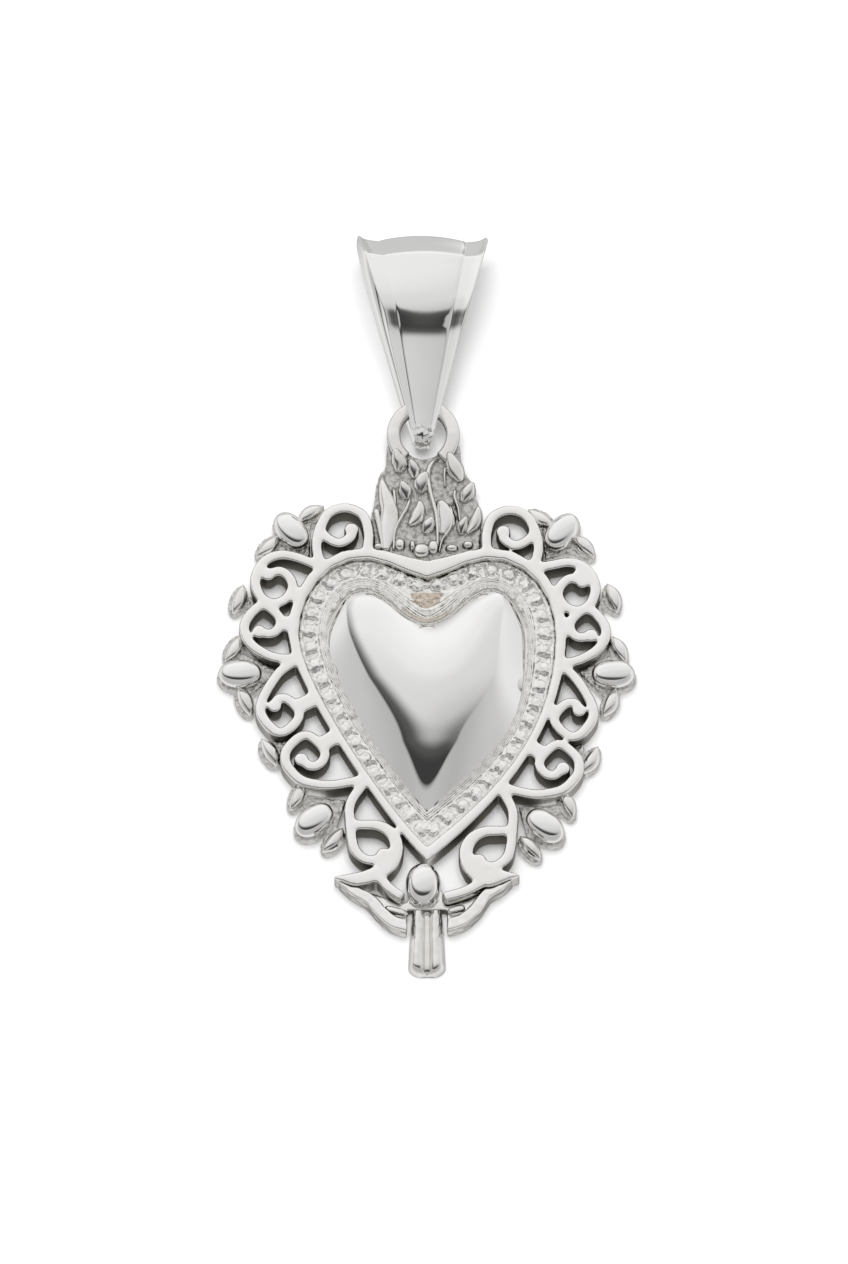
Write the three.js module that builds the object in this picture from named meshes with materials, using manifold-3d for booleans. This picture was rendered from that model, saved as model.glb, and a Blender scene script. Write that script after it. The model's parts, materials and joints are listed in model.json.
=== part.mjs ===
// Sacred heart pendant, lying face up: X to the right, Y towards the bail, Z out of the face.
// Design origin: on the axis, at the widest line of the heart, on the back plane.
import * as THREE from "three";
import { mergeVertices } from "three/addons/utils/BufferGeometryUtils.js";
import Module from "manifold-3d";

const wasm = await Module();
wasm.setup();

// Heart opening: the inner edge of the smooth band
const HEART_HALF_WIDTH = 6.82;
const LOBE_X = 3.39;
const LOBE_RISE = 4.29;
const CLEFT_DROP = 1.13;
const TIP_DROP = 12.07;
const CLEFT_SPREAD = 1.7;
const TIP_SPREAD = 1.48;
const HEART_STEPS = 22;
// Reach of the handles of a curve that draws a quarter round, and of the curve from cleft to lobe
const QUARTER_ROUND = 0.552;
const CLEFT_LEAN = 0.3;
const CLEFT_RISE = 0.15;
const LOBE_LEAN = 0.6;
// The left flank is straighter than the right one, as on the hand-made pattern
const FLANKS = {
  "-1": { drop: 2.6, out: 1.9, rise: 1.87 },
  1: { drop: 5.3, out: 3.9, rise: 3.27 },
};

// Depths
const PLATE = 1.4;
const WEB = 0.7;
const LEAF_RISE = 0.35;
const SEAM = 0.05;

// Scroll frame
const BAND = 0.55;
const STRIP = 0.52;
const BULB = 0.37;
const BULB_STEPS = 18;
const TIE = 0.85;
const BAR_STEPS = 4;

// Heart middle: beaded border, bezel rim and dome
const CHANNEL = 1.35;
const RIM = 0.26;
const BORDER_FLOOR = 0.62;
const BORDER_BEADS = 34;
const BORDER_BEAD_RADIUS = 0.5;
const BORDER_BEAD_RISE = 0.42;
const BORDER_CLEFT_SPREAD = 0.5;
const RIM_TOP = 1.1;
const DOME_SKIRT = 0.85;
const DOME_HEIGHT = 4.2;
const DOME_WALL = 0.55;
const DOME_CENTRE_DROP = 1.4;
const DOME_RINGS = 9;
// Powers that set how flat the dome's top is and how steep its sides are
const DOME_FLAT = 2;
const DOME_STEEP = 0.95;
const SHIELD_HALF_WIDTH = 0.9;
const SHIELD_LENGTH = 1.0;
const SHIELD_RISE = 0.28;
const SHIELD_WAIST_HALF_WIDTH = 0.63;
const SHIELD_WAIST_RISE = 0.55;

// Beads round the outline
const BEAD_LENGTH = 2.3;
const BEAD_WIDTH = 1.46;
const BEAD_RISE = 1.15;
const BEAD_COLLAR = 0.265;
const BOTTOM_BEAD_LENGTH = 2.4;
const BOTTOM_BEAD_WIDTH = 1.9;
const BOTTOM_BEAD_X = -0.2;

// Leaves
const LEAF_LENGTH = 1.7;
const LEAF_WIDTH = 0.66;

// Flame crown and eyelet
const FLAME_HALF_WIDTH = 2.9;
const FLAME_HEIGHT = 6.36;
const TONGUE_RISE = 0.55;
const EYELET_HOLE = 1.22;
const EYELET_WALL = 0.66;
const EYELET_WIRE = 0.6;
const EYELET_CHAMFER = 0.14;
const EYELET_OPEN = 20;
// The eyelet and the bottom bead stand a little off the axis, as on the hand-made pattern
const EYELET_X = -0.2;
const EYELET_STEPS = 24;
const FLAME_EDGE_STEPS = 16;

// Crescent bowl and stem below the tip
const BOWL_DROP = 0.45;
const BOWL_RADIUS = 3.4;
const BOWL_RIM = 0.62;
const BOWL_RIM_TIP = 0.3;
const BOWL_TOP = 1.25;
const CRADLE_DROP = 1.53;
const STEM_LENGTH = 3.5;
const STEM_HALF_WIDTH = 0.84;
const STEM_FOOT_HALF_WIDTH = 1.02;
const STEM_FOOT_ROUND = 0.3;
const STEM_FOOT_SAG = 0.2;
const STEM_REED = 0.36;
const STEM_REED_RISE = 0.36;
const STEM_DROP = 2.1;
const STEM_PITCH = 0.42;
const STEM_FAN = 3;
const STEM_SIDES = 14;

// Bail: a strap folded into a tapered loop
const BAIL_INNER_LENGTH = 8.6;
const BAIL_INNER_HALF_DEPTH = 1.6;
const BAIL_NOSE_SLACK = 0.95;
const BAIL_TOP_WIDTH = 6.9;
const BAIL_NOSE_WIDTH = 0.72;
const BAIL_STRAP = 0.4;
const BAIL_CROWN = 0.3;
const BAIL_LIP = 0.26;
const BAIL_CREASE = 0.68;
const BAIL_RUN = 0.246;
const BAIL_NOSE_SHARE = 0.2;
const BAIL_DRAFT = 0.8;
const BAIL_STAND = 0.16;
const BAIL_ROLL = 3.5;
const BAIL_SLIDE = -0.25;
const BAIL_STEPS = 64;
// Half of the strap section: shares of its half width, and shares of the crown's and the lip's rise
const BAIL_SHOULDER_RISE = 0.72;
const BAIL_PANEL = 0.84;
const BAIL_PANEL_RISE = 0.12;
const BAIL_LIFT_LIMIT = THREE.MathUtils.degToRad(60);
const BAIL_LIFT_STEP = THREE.MathUtils.degToRad(0.1);

// Places worked out from the sizes above
const LOBE_TOP = LOBE_RISE + BAND;
const EYELET_Y = LOBE_TOP + FLAME_HEIGHT;
const WIRE_RADIUS = EYELET_HOLE + EYELET_WALL / 2;
// How far a turned wire section reaches from the hinge line, with the curve of the ring and a running gap
const NOSE_WIDTH = BAIL_NOSE_WIDTH + (BAIL_TOP_WIDTH - BAIL_NOSE_WIDTH) * BAIL_NOSE_SHARE;
const NOSE_HALF = (BAIL_DRAFT * NOSE_WIDTH) / 2;
const WIRE_SAG = WIRE_RADIUS - Math.sqrt(WIRE_RADIUS ** 2 - NOSE_HALF ** 2);
const WIRE_CORNER = Math.hypot(EYELET_WALL / 2, EYELET_WIRE / 2 - EYELET_CHAMFER);
const WIRE_REACH = WIRE_CORNER + WIRE_SAG + BAIL_RUN;
const NOSE_REACH = WIRE_REACH + BAIL_NOSE_SLACK;
// The eyelet stands just high enough for the strap to pass behind it above the table
const HINGE_Z = WIRE_REACH + BAIL_STRAP + BAIL_STAND;
const HINGE = new THREE.Vector3(0, EYELET_Y + WIRE_RADIUS, HINGE_Z);
const SHEET = HINGE_Z - EYELET_WIRE / 2 - SEAM;
const BAND_TIP = -TIP_DROP - TIP_SPREAD * BAND;
const BOWL_Y = BAND_TIP - BOWL_DROP;
const SIDES = { left: -1, right: 1 };
const CUT_MARGIN = 1;
const DISC_STEPS = 24;

const vec = (x, y) => new THREE.Vector2(x, y);
const turn = (degrees) => THREE.MathUtils.degToRad(degrees);
const polar = (centre, degrees, radius) =>
  vec(
    centre.x + radius * Math.cos(turn(degrees)),
    centre.y + radius * Math.sin(turn(degrees)),
  );

// Solids and meshes

function solid(geometry) {
  const bare = new THREE.BufferGeometry();
  bare.setAttribute("position", geometry.getAttribute("position"));
  bare.setIndex(geometry.index);
  const merged = mergeVertices(bare, 1e-4);
  const mesh = new wasm.Mesh({
    numProp: 3,
    vertProperties: merged.attributes.position.array,
    triVerts: new Uint32Array(merged.index.array),
  });
  return new wasm.Manifold(mesh);
}

function join(bodies) {
  return bodies.reduce((whole, body) => whole.add(body));
}

function largest(body) {
  const bodies = body.decompose();
  return bodies.reduce((best, one) => (one.volume() > best.volume() ? one : best));
}

function geometryOf(body) {
  const mesh = body.getMesh();
  const geometry = new THREE.BufferGeometry();
  geometry.setAttribute("position", new THREE.BufferAttribute(mesh.vertProperties, 3));
  geometry.setIndex(new THREE.BufferAttribute(mesh.triVerts, 1));
  geometry.computeVertexNormals();
  return geometry;
}

function prism(points, bottom, top, holes = []) {
  const shape = new THREE.Shape(points);
  shape.holes = holes.map((hole) => new THREE.Path(hole));
  const geometry = new THREE.ExtrudeGeometry(shape, {
    depth: top - bottom,
    bevelEnabled: false,
  });
  return solid(geometry.translate(0, 0, bottom));
}

function disc(centre, radius, bottom, top, steps = DISC_STEPS) {
  const geometry = new THREE.CylinderGeometry(radius, radius, top - bottom, steps);
  geometry.rotateX(Math.PI / 2);
  return solid(geometry.translate(centre.x, centre.y, (bottom + top) / 2));
}

// Skin over a row of point rings; the row closes on itself, or each end gets a fan to its middle
function skin(rings, closed) {
  const count = rings[0].length;
  const positions = [];
  const index = [];
  rings.flat().forEach((p) => positions.push(p.x, p.y, p.z));
  const spans = closed ? rings.length : rings.length - 1;
  for (let i = 0; i < spans; i++) {
    for (let j = 0; j < count; j++) {
      const a = i * count + j;
      const b = i * count + ((j + 1) % count);
      const c = ((i + 1) % rings.length) * count + j;
      const d = ((i + 1) % rings.length) * count + ((j + 1) % count);
      index.push(a, b, d, a, d, c);
    }
  }
  if (!closed) {
    [rings[0], rings[rings.length - 1]].forEach((ring, end) => {
      const middle = positions.length / 3;
      const centre = new THREE.Vector3();
      ring.forEach((p) => centre.addScaledVector(p, 1 / count));
      positions.push(centre.x, centre.y, centre.z);
      const first = end * (rings.length - 1) * count;
      for (let j = 0; j < count; j++) {
        const a = first + j;
        const b = first + ((j + 1) % count);
        index.push(...(end ? [middle, a, b] : [middle, b, a]));
      }
    });
  }
  const geometry = new THREE.BufferGeometry();
  geometry.setAttribute("position", new THREE.Float32BufferAttribute(positions, 3));
  geometry.setIndex(index);
  return solid(geometry);
}

// Heart outlines

// One half of the heart from cleft to tip, moved in from the band's inner edge by an inset
function halfHeart(side, inset, spread = CLEFT_SPREAD) {
  const flank = FLANKS[side];
  const width = HEART_HALF_WIDTH - inset;
  const top = LOBE_RISE - inset;
  const cleft = LOBE_RISE - CLEFT_DROP - spread * inset;
  const tip = -TIP_DROP + TIP_SPREAD * inset;
  const lobe = LOBE_X;
  const at = (x, y) => vec(side * x, y);
  const path = new THREE.CurvePath();
  path.add(
    new THREE.CubicBezierCurve(
      at(0, cleft),
      at(CLEFT_LEAN * lobe, cleft + CLEFT_RISE * (top - cleft)),
      at(LOBE_LEAN * lobe, top),
      at(lobe, top),
    ),
  );
  path.add(
    new THREE.CubicBezierCurve(
      at(lobe, top),
      at(lobe + QUARTER_ROUND * (width - lobe), top),
      at(width, QUARTER_ROUND * top),
      at(width, 0),
    ),
  );
  path.add(
    new THREE.CubicBezierCurve(
      at(width, 0),
      at(width, -flank.drop),
      at(flank.out, tip + flank.rise),
      at(0, tip),
    ),
  );
  return path;
}

function heart(inset) {
  const right = halfHeart(1, inset).getSpacedPoints(HEART_STEPS);
  const left = halfHeart(-1, inset).getSpacedPoints(HEART_STEPS);
  return [...right.slice(0, -1), ...left.reverse().slice(0, -1)].reverse();
}

// A place beside the heart: share of the half outline from cleft to tip, and distance out from the band
function beside(side, share, out) {
  const edge = halfHeart(side, -BAND);
  const tangent = edge.getTangent(share);
  const normal = vec(-tangent.y, tangent.x).multiplyScalar(side);
  return edge.getPoint(share).addScaledVector(normal, out);
}

// Scroll frame

// Each scroll: where its eye is on either side (share of the half outline, distance out from the band),
// the polar stations of its strip from the bulb outwards, and the share of the band where it ends
const SCROLLS = {
  crown: {
    left: [0.166, 1.09],
    right: [0.166, 0.97],
    fill: 1.29,
    stations: [
      [170, 0.37],
      [211, 0.47],
      [290, 0.75],
      [338, 1.03],
      [360, 1.25],
      [405, 1.29],
      [450, 1.29],
      [495, 1.29],
      [540, 1.24],
    ],
    foot: 0.127,
  },
  shoulder: {
    tied: true,
    left: [0.322, 1.27],
    right: [0.328, 0.95],
    fill: 0.96,
    stations: [
      [66, 0.72],
      [112, 0.92],
      [149, 0.96],
      [184, 1.0],
      [229, 0.97],
      [270, 0.98],
      [312, 0.92],
      [355, 0.92],
      [388, 1.08],
      [420, 1.35],
      [444, 1.62],
      [465, 1.83],
      [488, 2.05],
    ],
    foot: 0.238,
    gusset: [
      [402, 1.02],
      [428, 1.16],
      [452, 1.38],
    ],
  },
  upper: {
    tied: true,
    left: [0.389, 1.33],
    right: [0.39, 1.11],
    fill: 0.93,
    stations: [
      [-70, 0.6],
      [-120, 0.8],
      [-150, 0.9],
      [-188, 0.92],
      [-270, 0.93],
      [-360, 0.92],
      [-394, 1.14],
      [-424, 1.42],
      [-451, 1.76],
      [-468, 2.13],
    ],
    foot: 0.473,
  },
  middle: {
    tied: true,
    left: [0.568, 1.89],
    right: [0.58, 1.25],
    fill: 1.01,
    stations: [
      [58, 0.6],
      [80, 0.9],
      [106, 0.98],
      [180, 1.01],
      [270, 1.01],
      [360, 1.01],
      [395, 1.24],
      [422, 1.55],
      [437, 1.92],
      [450, 2.47],
    ],
    foot: 0.473,
  },
  flank: {
    tied: true,
    left: [0.663, 1.72],
    right: [0.669, 1.55],
    fill: 1.01,
    stations: [
      [-56, 0.45],
      [-110, 0.85],
      [-145, 0.97],
      [-180, 1.0],
      [-270, 1.0],
      [-348, 1.02],
      [-375, 1.14],
      [-393, 1.23],
      [-419, 1.34],
      [-442, 1.58],
      [-465, 1.82],
      [-486, 2.25],
    ],
    foot: 0.777,
  },
  foot: {
    left: [0.898, 1.55],
    right: [0.888, 1.71],
    fill: 1.0,
    stations: [
      [-132, 0.9],
      [-113, 0.98],
      [-75, 1.02],
      [-28, 1.0],
      [13, 1.11],
      [46, 1.68],
      [62, 2.47],
    ],
    foot: 0.777,
  },
};
// The horned strip that runs round the foot scroll and out to a point
const HORN_STATIONS = [
  [41, 1.54],
  [65, 1.09],
  [105, 1.0],
  [144, 1.09],
  [177, 1.24],
  [205, 1.37],
  [236, 1.57],
  [263, 1.76],
  [289, 2.16],
  [316, 2.82],
];
const HORN_WIDTH = 1.0;
// Share of its length where the horn starts to run out to its point, and the width left there
const HORN_TAPER_FROM = 0.86;
const HORN_POINT = 0.18;
// The right horn is the shorter one
const HORN_REACH = { "-1": 1, 1: 0.76 };
// The leg from the crown scroll down to the shoulder
const LEG_STATIONS = [
  [40, 1.29],
  [0, 1.36],
  [-32, 1.75],
];
const FOOT_DEPTH = 0.25;
// Station of the horned strip where the bar round the bottom bead starts, and that bar's sag
const CRADLE_START = 7;
const CRADLE_SAG = 0.15;

function placeOf(side, spot) {
  const [share, out] = side > 0 ? spot.right : spot.left;
  return beside(side, share, out);
}

function stationPoints(side, scroll, stations) {
  const eye = placeOf(side, scroll);
  return stations.map(([angle, radius]) =>
    polar(eye, side > 0 ? angle : 180 - angle, radius),
  );
}

function curveThrough(points) {
  const knots = points.map((p) => new THREE.Vector3(p.x, p.y, 0));
  return new THREE.CatmullRomCurve3(knots, false, "centripetal");
}

// Flat bar along a curve, its width a function of the share of its length
function bar(points, widthAt, bottom, top) {
  const curve = curveThrough(points);
  const left = [];
  const right = [];
  const steps = BAR_STEPS * points.length;
  for (let i = 0; i <= steps; i++) {
    const share = i / steps;
    const p = curve.getPointAt(share);
    const along = curve.getTangentAt(share);
    const half = widthAt(share) / 2;
    left.push(vec(p.x - along.y * half, p.y + along.x * half));
    right.push(vec(p.x + along.y * half, p.y - along.x * half));
  }
  return prism([...left, ...right.reverse()], bottom, top);
}

// Points of the horned strip, its last two drawn in where the horn is short
function hornPoints(side) {
  const last = HORN_STATIONS.length - 2;
  const stations = HORN_STATIONS.map(([angle, radius], i) => [
    angle,
    i < last ? radius : radius * HORN_REACH[side],
  ]);
  return stationPoints(side, SCROLLS.foot, stations);
}

// The bars that cross below the tip, one each side of the bottom bead
function cradlePoints(side) {
  const start = hornPoints(side)[CRADLE_START];
  const end = vec(BOTTOM_BEAD_X + side * (BOTTOM_BEAD_WIDTH / 2 + 3 * SEAM), BOWL_Y - CRADLE_DROP);
  const middle = start.clone().lerp(end, 0.5);
  middle.y -= CRADLE_SAG;
  return [start, middle, end];
}

// Short tie from the round of a scroll straight in to the band
function tiePoints(side, scroll) {
  const eye = placeOf(side, scroll);
  const [share] = side > 0 ? scroll.right : scroll.left;
  const band = beside(side, share, -FOOT_DEPTH);
  const start = band.clone().sub(eye).setLength(scroll.fill).add(eye);
  return [start, band];
}

// The whole pierced frame, widened all round by a growth for cutting what fits against it
function frameSolid(bottom, top, grow) {
  const strip = () => STRIP + 2 * grow;
  const tie = () => TIE + 2 * grow;
  const horn = (share) =>
    2 * grow + STRIP + (HORN_WIDTH - STRIP) * Math.sin(Math.PI * share) * share;
  const hornTaper = (share) => {
    const past = Math.max(0, (share - HORN_TAPER_FROM) / (1 - HORN_TAPER_FROM));
    return horn(share) * (1 - (1 - HORN_POINT) * past);
  };
  const bodies = [prism(heart(-BAND - grow), bottom, top, [heart(0)])];
  Object.values(SIDES).forEach((side) => {
    Object.values(SCROLLS).forEach((scroll) => {
      const points = stationPoints(side, scroll, scroll.stations);
      const foot = beside(side, scroll.foot, -FOOT_DEPTH);
      bodies.push(bar([...points, foot], strip, bottom, top));
      bodies.push(disc(points[0], BULB + grow, bottom, top, BULB_STEPS));
      if (scroll.tied) bodies.push(bar(tiePoints(side, scroll), tie, bottom, top));
      if (scroll.gusset && side > 0) {
        bodies.push(bar(stationPoints(side, scroll, scroll.gusset), strip, bottom, top));
      }
    });
    const leg = stationPoints(side, SCROLLS.crown, LEG_STATIONS);
    leg.push(beside(side, SCROLLS.shoulder.foot, -FOOT_DEPTH));
    bodies.push(bar(leg, strip, bottom, top));
    bodies.push(bar(hornPoints(side), hornTaper, bottom, top));
    bodies.push(bar(cradlePoints(side), strip, bottom, top));
  });
  return join(bodies);
}

// The cutter also closes the scroll eyes, so that nothing is left inside them
function frameCutter() {
  const bottom = -CUT_MARGIN;
  const top = DOME_HEIGHT + CUT_MARGIN;
  const bodies = [frameSolid(bottom, top, SEAM), prism(heart(-BAND - SEAM), bottom, top)];
  Object.values(SIDES).forEach((side) => {
    Object.values(SCROLLS).forEach((scroll) => {
      bodies.push(disc(placeOf(side, scroll), scroll.fill, bottom, top));
    });
  });
  return join(bodies);
}

// Ridges: leaves and flame tongues

// Shares of a ridge's width at its crest and ends, and of its height at its ends
const RIDGE_CREST = 0.45;
const RIDGE_TIP = 0.2;
const RIDGE_DROP = 0.55;
const RIDGE_STEPS = 10;

// Tapered ridge along a curve, widest in the middle, with a narrow crest
function ridge(points, width, bottom, top) {
  const curve = curveThrough(points);
  const rings = [];
  for (let i = 0; i <= RIDGE_STEPS; i++) {
    const share = i / RIDGE_STEPS;
    const p = curve.getPointAt(share);
    const along = curve.getTangentAt(share);
    const swell = RIDGE_TIP + (1 - RIDGE_TIP) * Math.sin(Math.PI * share);
    const half = (width / 2) * swell;
    const rise = bottom + (top - bottom) * (RIDGE_DROP + (1 - RIDGE_DROP) * swell);
    const at = (offset, z) =>
      new THREE.Vector3(p.x - along.y * offset, p.y + along.x * offset, z);
    rings.push([
      at(half, bottom),
      at(-half, bottom),
      at(-half * RIDGE_CREST, rise),
      at(half * RIDGE_CREST, rise),
    ]);
  }
  return skin(rings.reverse(), false);
}

// Sprays: a bead seat with two leaves, between two scrolls
const SPRAYS = {
  top: {
    bead: { left: [0.233, 2.44], right: [0.23, 2.36], angle: 52 },
    root: { left: [0.238, 0.75], right: [0.238, 0.75] },
    leaves: [
      { left: [0.268, 2.8], right: [0.262, 2.64], angle: -45 },
      { left: [0.2, 2.72], right: [0.197, 2.51], angle: 145 },
    ],
  },
  side: {
    bead: { left: [0.463, 2.91], right: [0.476, 2.64], angle: 0 },
    root: { left: [0.473, 0.9], right: [0.476, 0.8] },
    leaves: [
      { left: [0.422, 2.93], right: [0.428, 2.75], angle: -62 },
      { left: [0.508, 3.23], right: [0.523, 2.75], angle: -112 },
    ],
  },
  lower: {
    bead: { left: [0.791, 3.31], right: [0.784, 2.96], angle: -39 },
    root: { left: [0.785, 1.2], right: [0.78, 1.1] },
    leaves: [
      { left: [0.726, 3.3], right: [0.726, 3.1], angle: -67 },
      { left: [0.843, 3.06], right: [0.832, 3.1], angle: -51 },
    ],
  },
};
const BUDS = {
  upper: { left: [0.354, 2.89], right: [0.346, 2.71], angle: -71, between: ["shoulder", "upper"] },
  lower: { left: [0.62, 3.33], right: [0.633, 2.92], angle: -119, between: ["middle", "flank"] },
};
const SEAT = 0.08;
const LEAF_PAD = 0.12;
const OVAL_STEPS = 20;

const facing = (side, angle) => (side > 0 ? angle : 180 - angle);

function leafEnds(side, leaf) {
  const centre = placeOf(side, leaf);
  const angle = facing(side, leaf.angle);
  return [-LEAF_LENGTH / 2, LEAF_LENGTH / 2].map((reach) => polar(centre, angle, reach));
}

function leafSolid(side, leaf) {
  return ridge(leafEnds(side, leaf), LEAF_WIDTH, 0, WEB + LEAF_RISE);
}

function oval(centre, angle, length, width) {
  const points = [];
  for (let i = 0; i < OVAL_STEPS; i++) {
    const round = (i / OVAL_STEPS) * 2 * Math.PI;
    const p = vec((length / 2) * Math.cos(round), (width / 2) * Math.sin(round));
    points.push(p.rotateAround(vec(0, 0), turn(angle)).add(centre));
  }
  return points;
}

function wedge(points, bottom, top) {
  const middle = points.reduce((sum, p) => sum.add(p), vec(0, 0)).divideScalar(points.length);
  const order = points
    .slice()
    .sort((a, b) => a.clone().sub(middle).angle() - b.clone().sub(middle).angle());
  return prism(order, bottom, top);
}

// Round pad under a leaf
function leafPad(side, leaf) {
  const angle = facing(side, leaf.angle);
  return prism(oval(placeOf(side, leaf), angle, LEAF_LENGTH, LEAF_WIDTH + 2 * LEAF_PAD), 0, WEB);
}

function spraySolid(side, spray, cutter) {
  const bead = placeOf(side, spray.bead);
  const root = placeOf(side, spray.root);
  const angle = facing(side, spray.bead.angle);
  const middles = spray.leaves.map((leaf) => placeOf(side, leaf));
  const bodies = [
    prism(oval(bead, angle, BEAD_LENGTH + 2 * SEAT, BEAD_WIDTH + 2 * SEAT), 0, WEB),
    wedge([root, bead, ...middles], 0, WEB),
    ...spray.leaves.map((leaf) => leafPad(side, leaf)),
    ...spray.leaves.map((leaf) => leafSolid(side, leaf)),
  ];
  const hollow = prism(
    oval(bead, angle, BEAD_LENGTH + 2 * SEAM, BEAD_WIDTH + 2 * SEAM),
    WEB,
    PLATE + CUT_MARGIN,
  );
  return largest(join(bodies).subtract(cutter).subtract(hollow));
}

function budSolid(side, bud, cutter) {
  const eyes = bud.between.map((name) => placeOf(side, SCROLLS[name]));
  const web = wedge([placeOf(side, bud), ...eyes], 0, WEB);
  const bodies = [web, leafPad(side, bud), leafSolid(side, bud)];
  return largest(join(bodies).subtract(cutter));
}

// Beads: oval domes cut flat where they are seated
function beadSolid(centre, angle, length, width, seat) {
  const reach = BEAD_RISE - BEAD_COLLAR;
  const ball = new THREE.SphereGeometry(1, 16, 10);
  ball.rotateX(Math.PI / 2);
  ball.scale(length / 2, width / 2, reach);
  ball.rotateZ(turn(angle));
  ball.translate(centre.x, centre.y, seat + BEAD_COLLAR);
  const below = disc(centre, length, seat - 2 * reach, seat);
  return solid(ball).subtract(below);
}

// Heart middle

function borderSolid() {
  const inner = CHANNEL - RIM - SEAM;
  const bodies = [prism(heart(SEAM), 0, BORDER_FLOOR, [heart(inner)])];
  const middle = inner / 2;
  const reach = Math.min(BORDER_BEAD_RADIUS, middle - SEAM);
  const half = BORDER_BEADS / 2;
  Object.values(SIDES).forEach((side) => {
    const path = halfHeart(side, middle + SEAM / 2, BORDER_CLEFT_SPREAD);
    for (let i = 0; i < half; i++) {
      const p = path.getPoint((i + 0.5) / half);
      const bead = new THREE.SphereGeometry(1, 8, 4);
      bead.rotateX(Math.PI / 2);
      bead.scale(reach, reach, BORDER_BEAD_RISE);
      bead.translate(p.x, p.y, BORDER_FLOOR);
      bodies.push(solid(bead));
    }
  });
  const bounds = prism(heart(SEAM), 0, PLATE, [heart(inner)]);
  return join(bodies).intersect(bounds);
}

function rimSolid() {
  return prism(heart(CHANNEL - RIM), 0, RIM_TOP, [heart(CHANNEL)]);
}

// Puffed shell, open at the back: scaled hearts that rise to a rounded top
function domeSolid() {
  const centre = vec(0, -DOME_CENTRE_DROP);
  const ringsOf = (inset, skirt, top) => {
    const edge = heart(inset);
    const rings = [];
    for (let i = 1; i <= DOME_RINGS; i++) {
      const share = Math.sin(((i / DOME_RINGS) * Math.PI) / 2);
      const z = skirt + (top - skirt) * Math.pow(1 - Math.pow(share, DOME_FLAT), DOME_STEEP);
      rings.push(
        edge.map((p) => {
          const q = p.clone().sub(centre).multiplyScalar(share).add(centre);
          return new THREE.Vector3(q.x, q.y, z);
        }),
      );
    }
    rings.push(edge.map((p) => new THREE.Vector3(p.x, p.y, 0)));
    return rings;
  };
  const outer = ringsOf(CHANNEL + SEAM, DOME_SKIRT, DOME_HEIGHT);
  const inset = CHANNEL + SEAM + DOME_WALL;
  const inner = ringsOf(inset, DOME_SKIRT - DOME_WALL / 2, DOME_HEIGHT - DOME_WALL);
  return skin([...inner, ...outer.reverse()], false);
}

// Small shield in the cleft, seated on the border's floor below its beads
function shieldSolid() {
  const point = LOBE_RISE - CLEFT_DROP - CLEFT_SPREAD * (CHANNEL - RIM - SEAM) + SEAM;
  const top = point + SHIELD_LENGTH;
  const points = [
    vec(-SHIELD_HALF_WIDTH, top),
    vec(-SHIELD_WAIST_HALF_WIDTH, point + SHIELD_WAIST_RISE),
    vec(0, point),
    vec(SHIELD_WAIST_HALF_WIDTH, point + SHIELD_WAIST_RISE),
    vec(SHIELD_HALF_WIDTH, top),
  ];
  const bottom = BORDER_FLOOR + SEAM;
  return prism(points, bottom, bottom + SHIELD_RISE);
}

// Flame crown

// The two edges of the flame plate from foot to eyelet, in shares of its half width and of its height
const FLAME_EDGE = {
  "-1": [
    [-1.0, -0.15],
    [-1.03, 0.1],
    [-1.01, 0.3],
    [-0.95, 0.44],
    [-0.92, 0.57],
    [-0.86, 0.67],
    [-0.76, 0.73],
    [-0.73, 0.93],
  ],
  1: [
    [0.95, -0.15],
    [0.97, 0.1],
    [0.99, 0.31],
    [0.97, 0.38],
    [0.89, 0.46],
    [0.89, 0.55],
    [0.78, 0.63],
    [0.65, 0.72],
    [0.6, 0.93],
  ],
};
// Flame tongues from tip to root in the same shares, with their widths in millimetres
const TONGUES = [
  { width: 0.88, line: [[-0.57, 0.87], [-0.52, 0.81], [-0.48, 0.73]] },
  { width: 0.74, line: [[-0.34, 0.82], [-0.23, 0.77], [-0.13, 0.7], [-0.15, 0.62]] },
  { width: 0.7, line: [[0.19, 0.82], [0.06, 0.75], [0.02, 0.6], [0.1, 0.4], [0.17, 0.2], [0.23, 0.02]] },
  { width: 0.79, line: [[0.44, 0.86], [0.44, 0.8], [0.48, 0.7], [0.59, 0.61]] },
  { width: 0.88, line: [[-0.78, 0.68], [-0.71, 0.56], [-0.63, 0.44], [-0.63, 0.3], [-0.65, 0.02]] },
  { width: 0.74, line: [[-0.93, 0.4], [-0.9, 0.32], [-0.85, 0.2], [-0.83, 0.02]] },
  { width: 0.7, line: [[-0.48, 0.61], [-0.4, 0.56], [-0.36, 0.5]] },
  { width: 0.64, line: [[-0.26, 0.5], [-0.34, 0.38], [-0.44, 0.25], [-0.46, 0.12], [-0.41, 0.01]] },
  { width: 0.7, line: [[-0.13, 0.44], [-0.16, 0.35], [-0.27, 0.25]] },
  { width: 0.64, line: [[-0.02, 0.28], [-0.05, 0.22], [-0.14, 0.17]] },
  { width: 0.88, line: [[0.2, 0.46], [0.31, 0.35], [0.36, 0.25], [0.34, 0.15]] },
  { width: 0.7, line: [[0.81, 0.6], [0.73, 0.5], [0.65, 0.4]] },
  { width: 0.74, line: [[0.9, 0.4], [0.88, 0.3], [0.79, 0.2], [0.75, 0.02]] },
  { width: 0.7, line: [[0.69, 0.32], [0.57, 0.23], [0.52, 0.12]] },
];

const flamePoint = ([x, y]) => vec(x * FLAME_HALF_WIDTH, LOBE_TOP + y * FLAME_HEIGHT);

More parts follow.
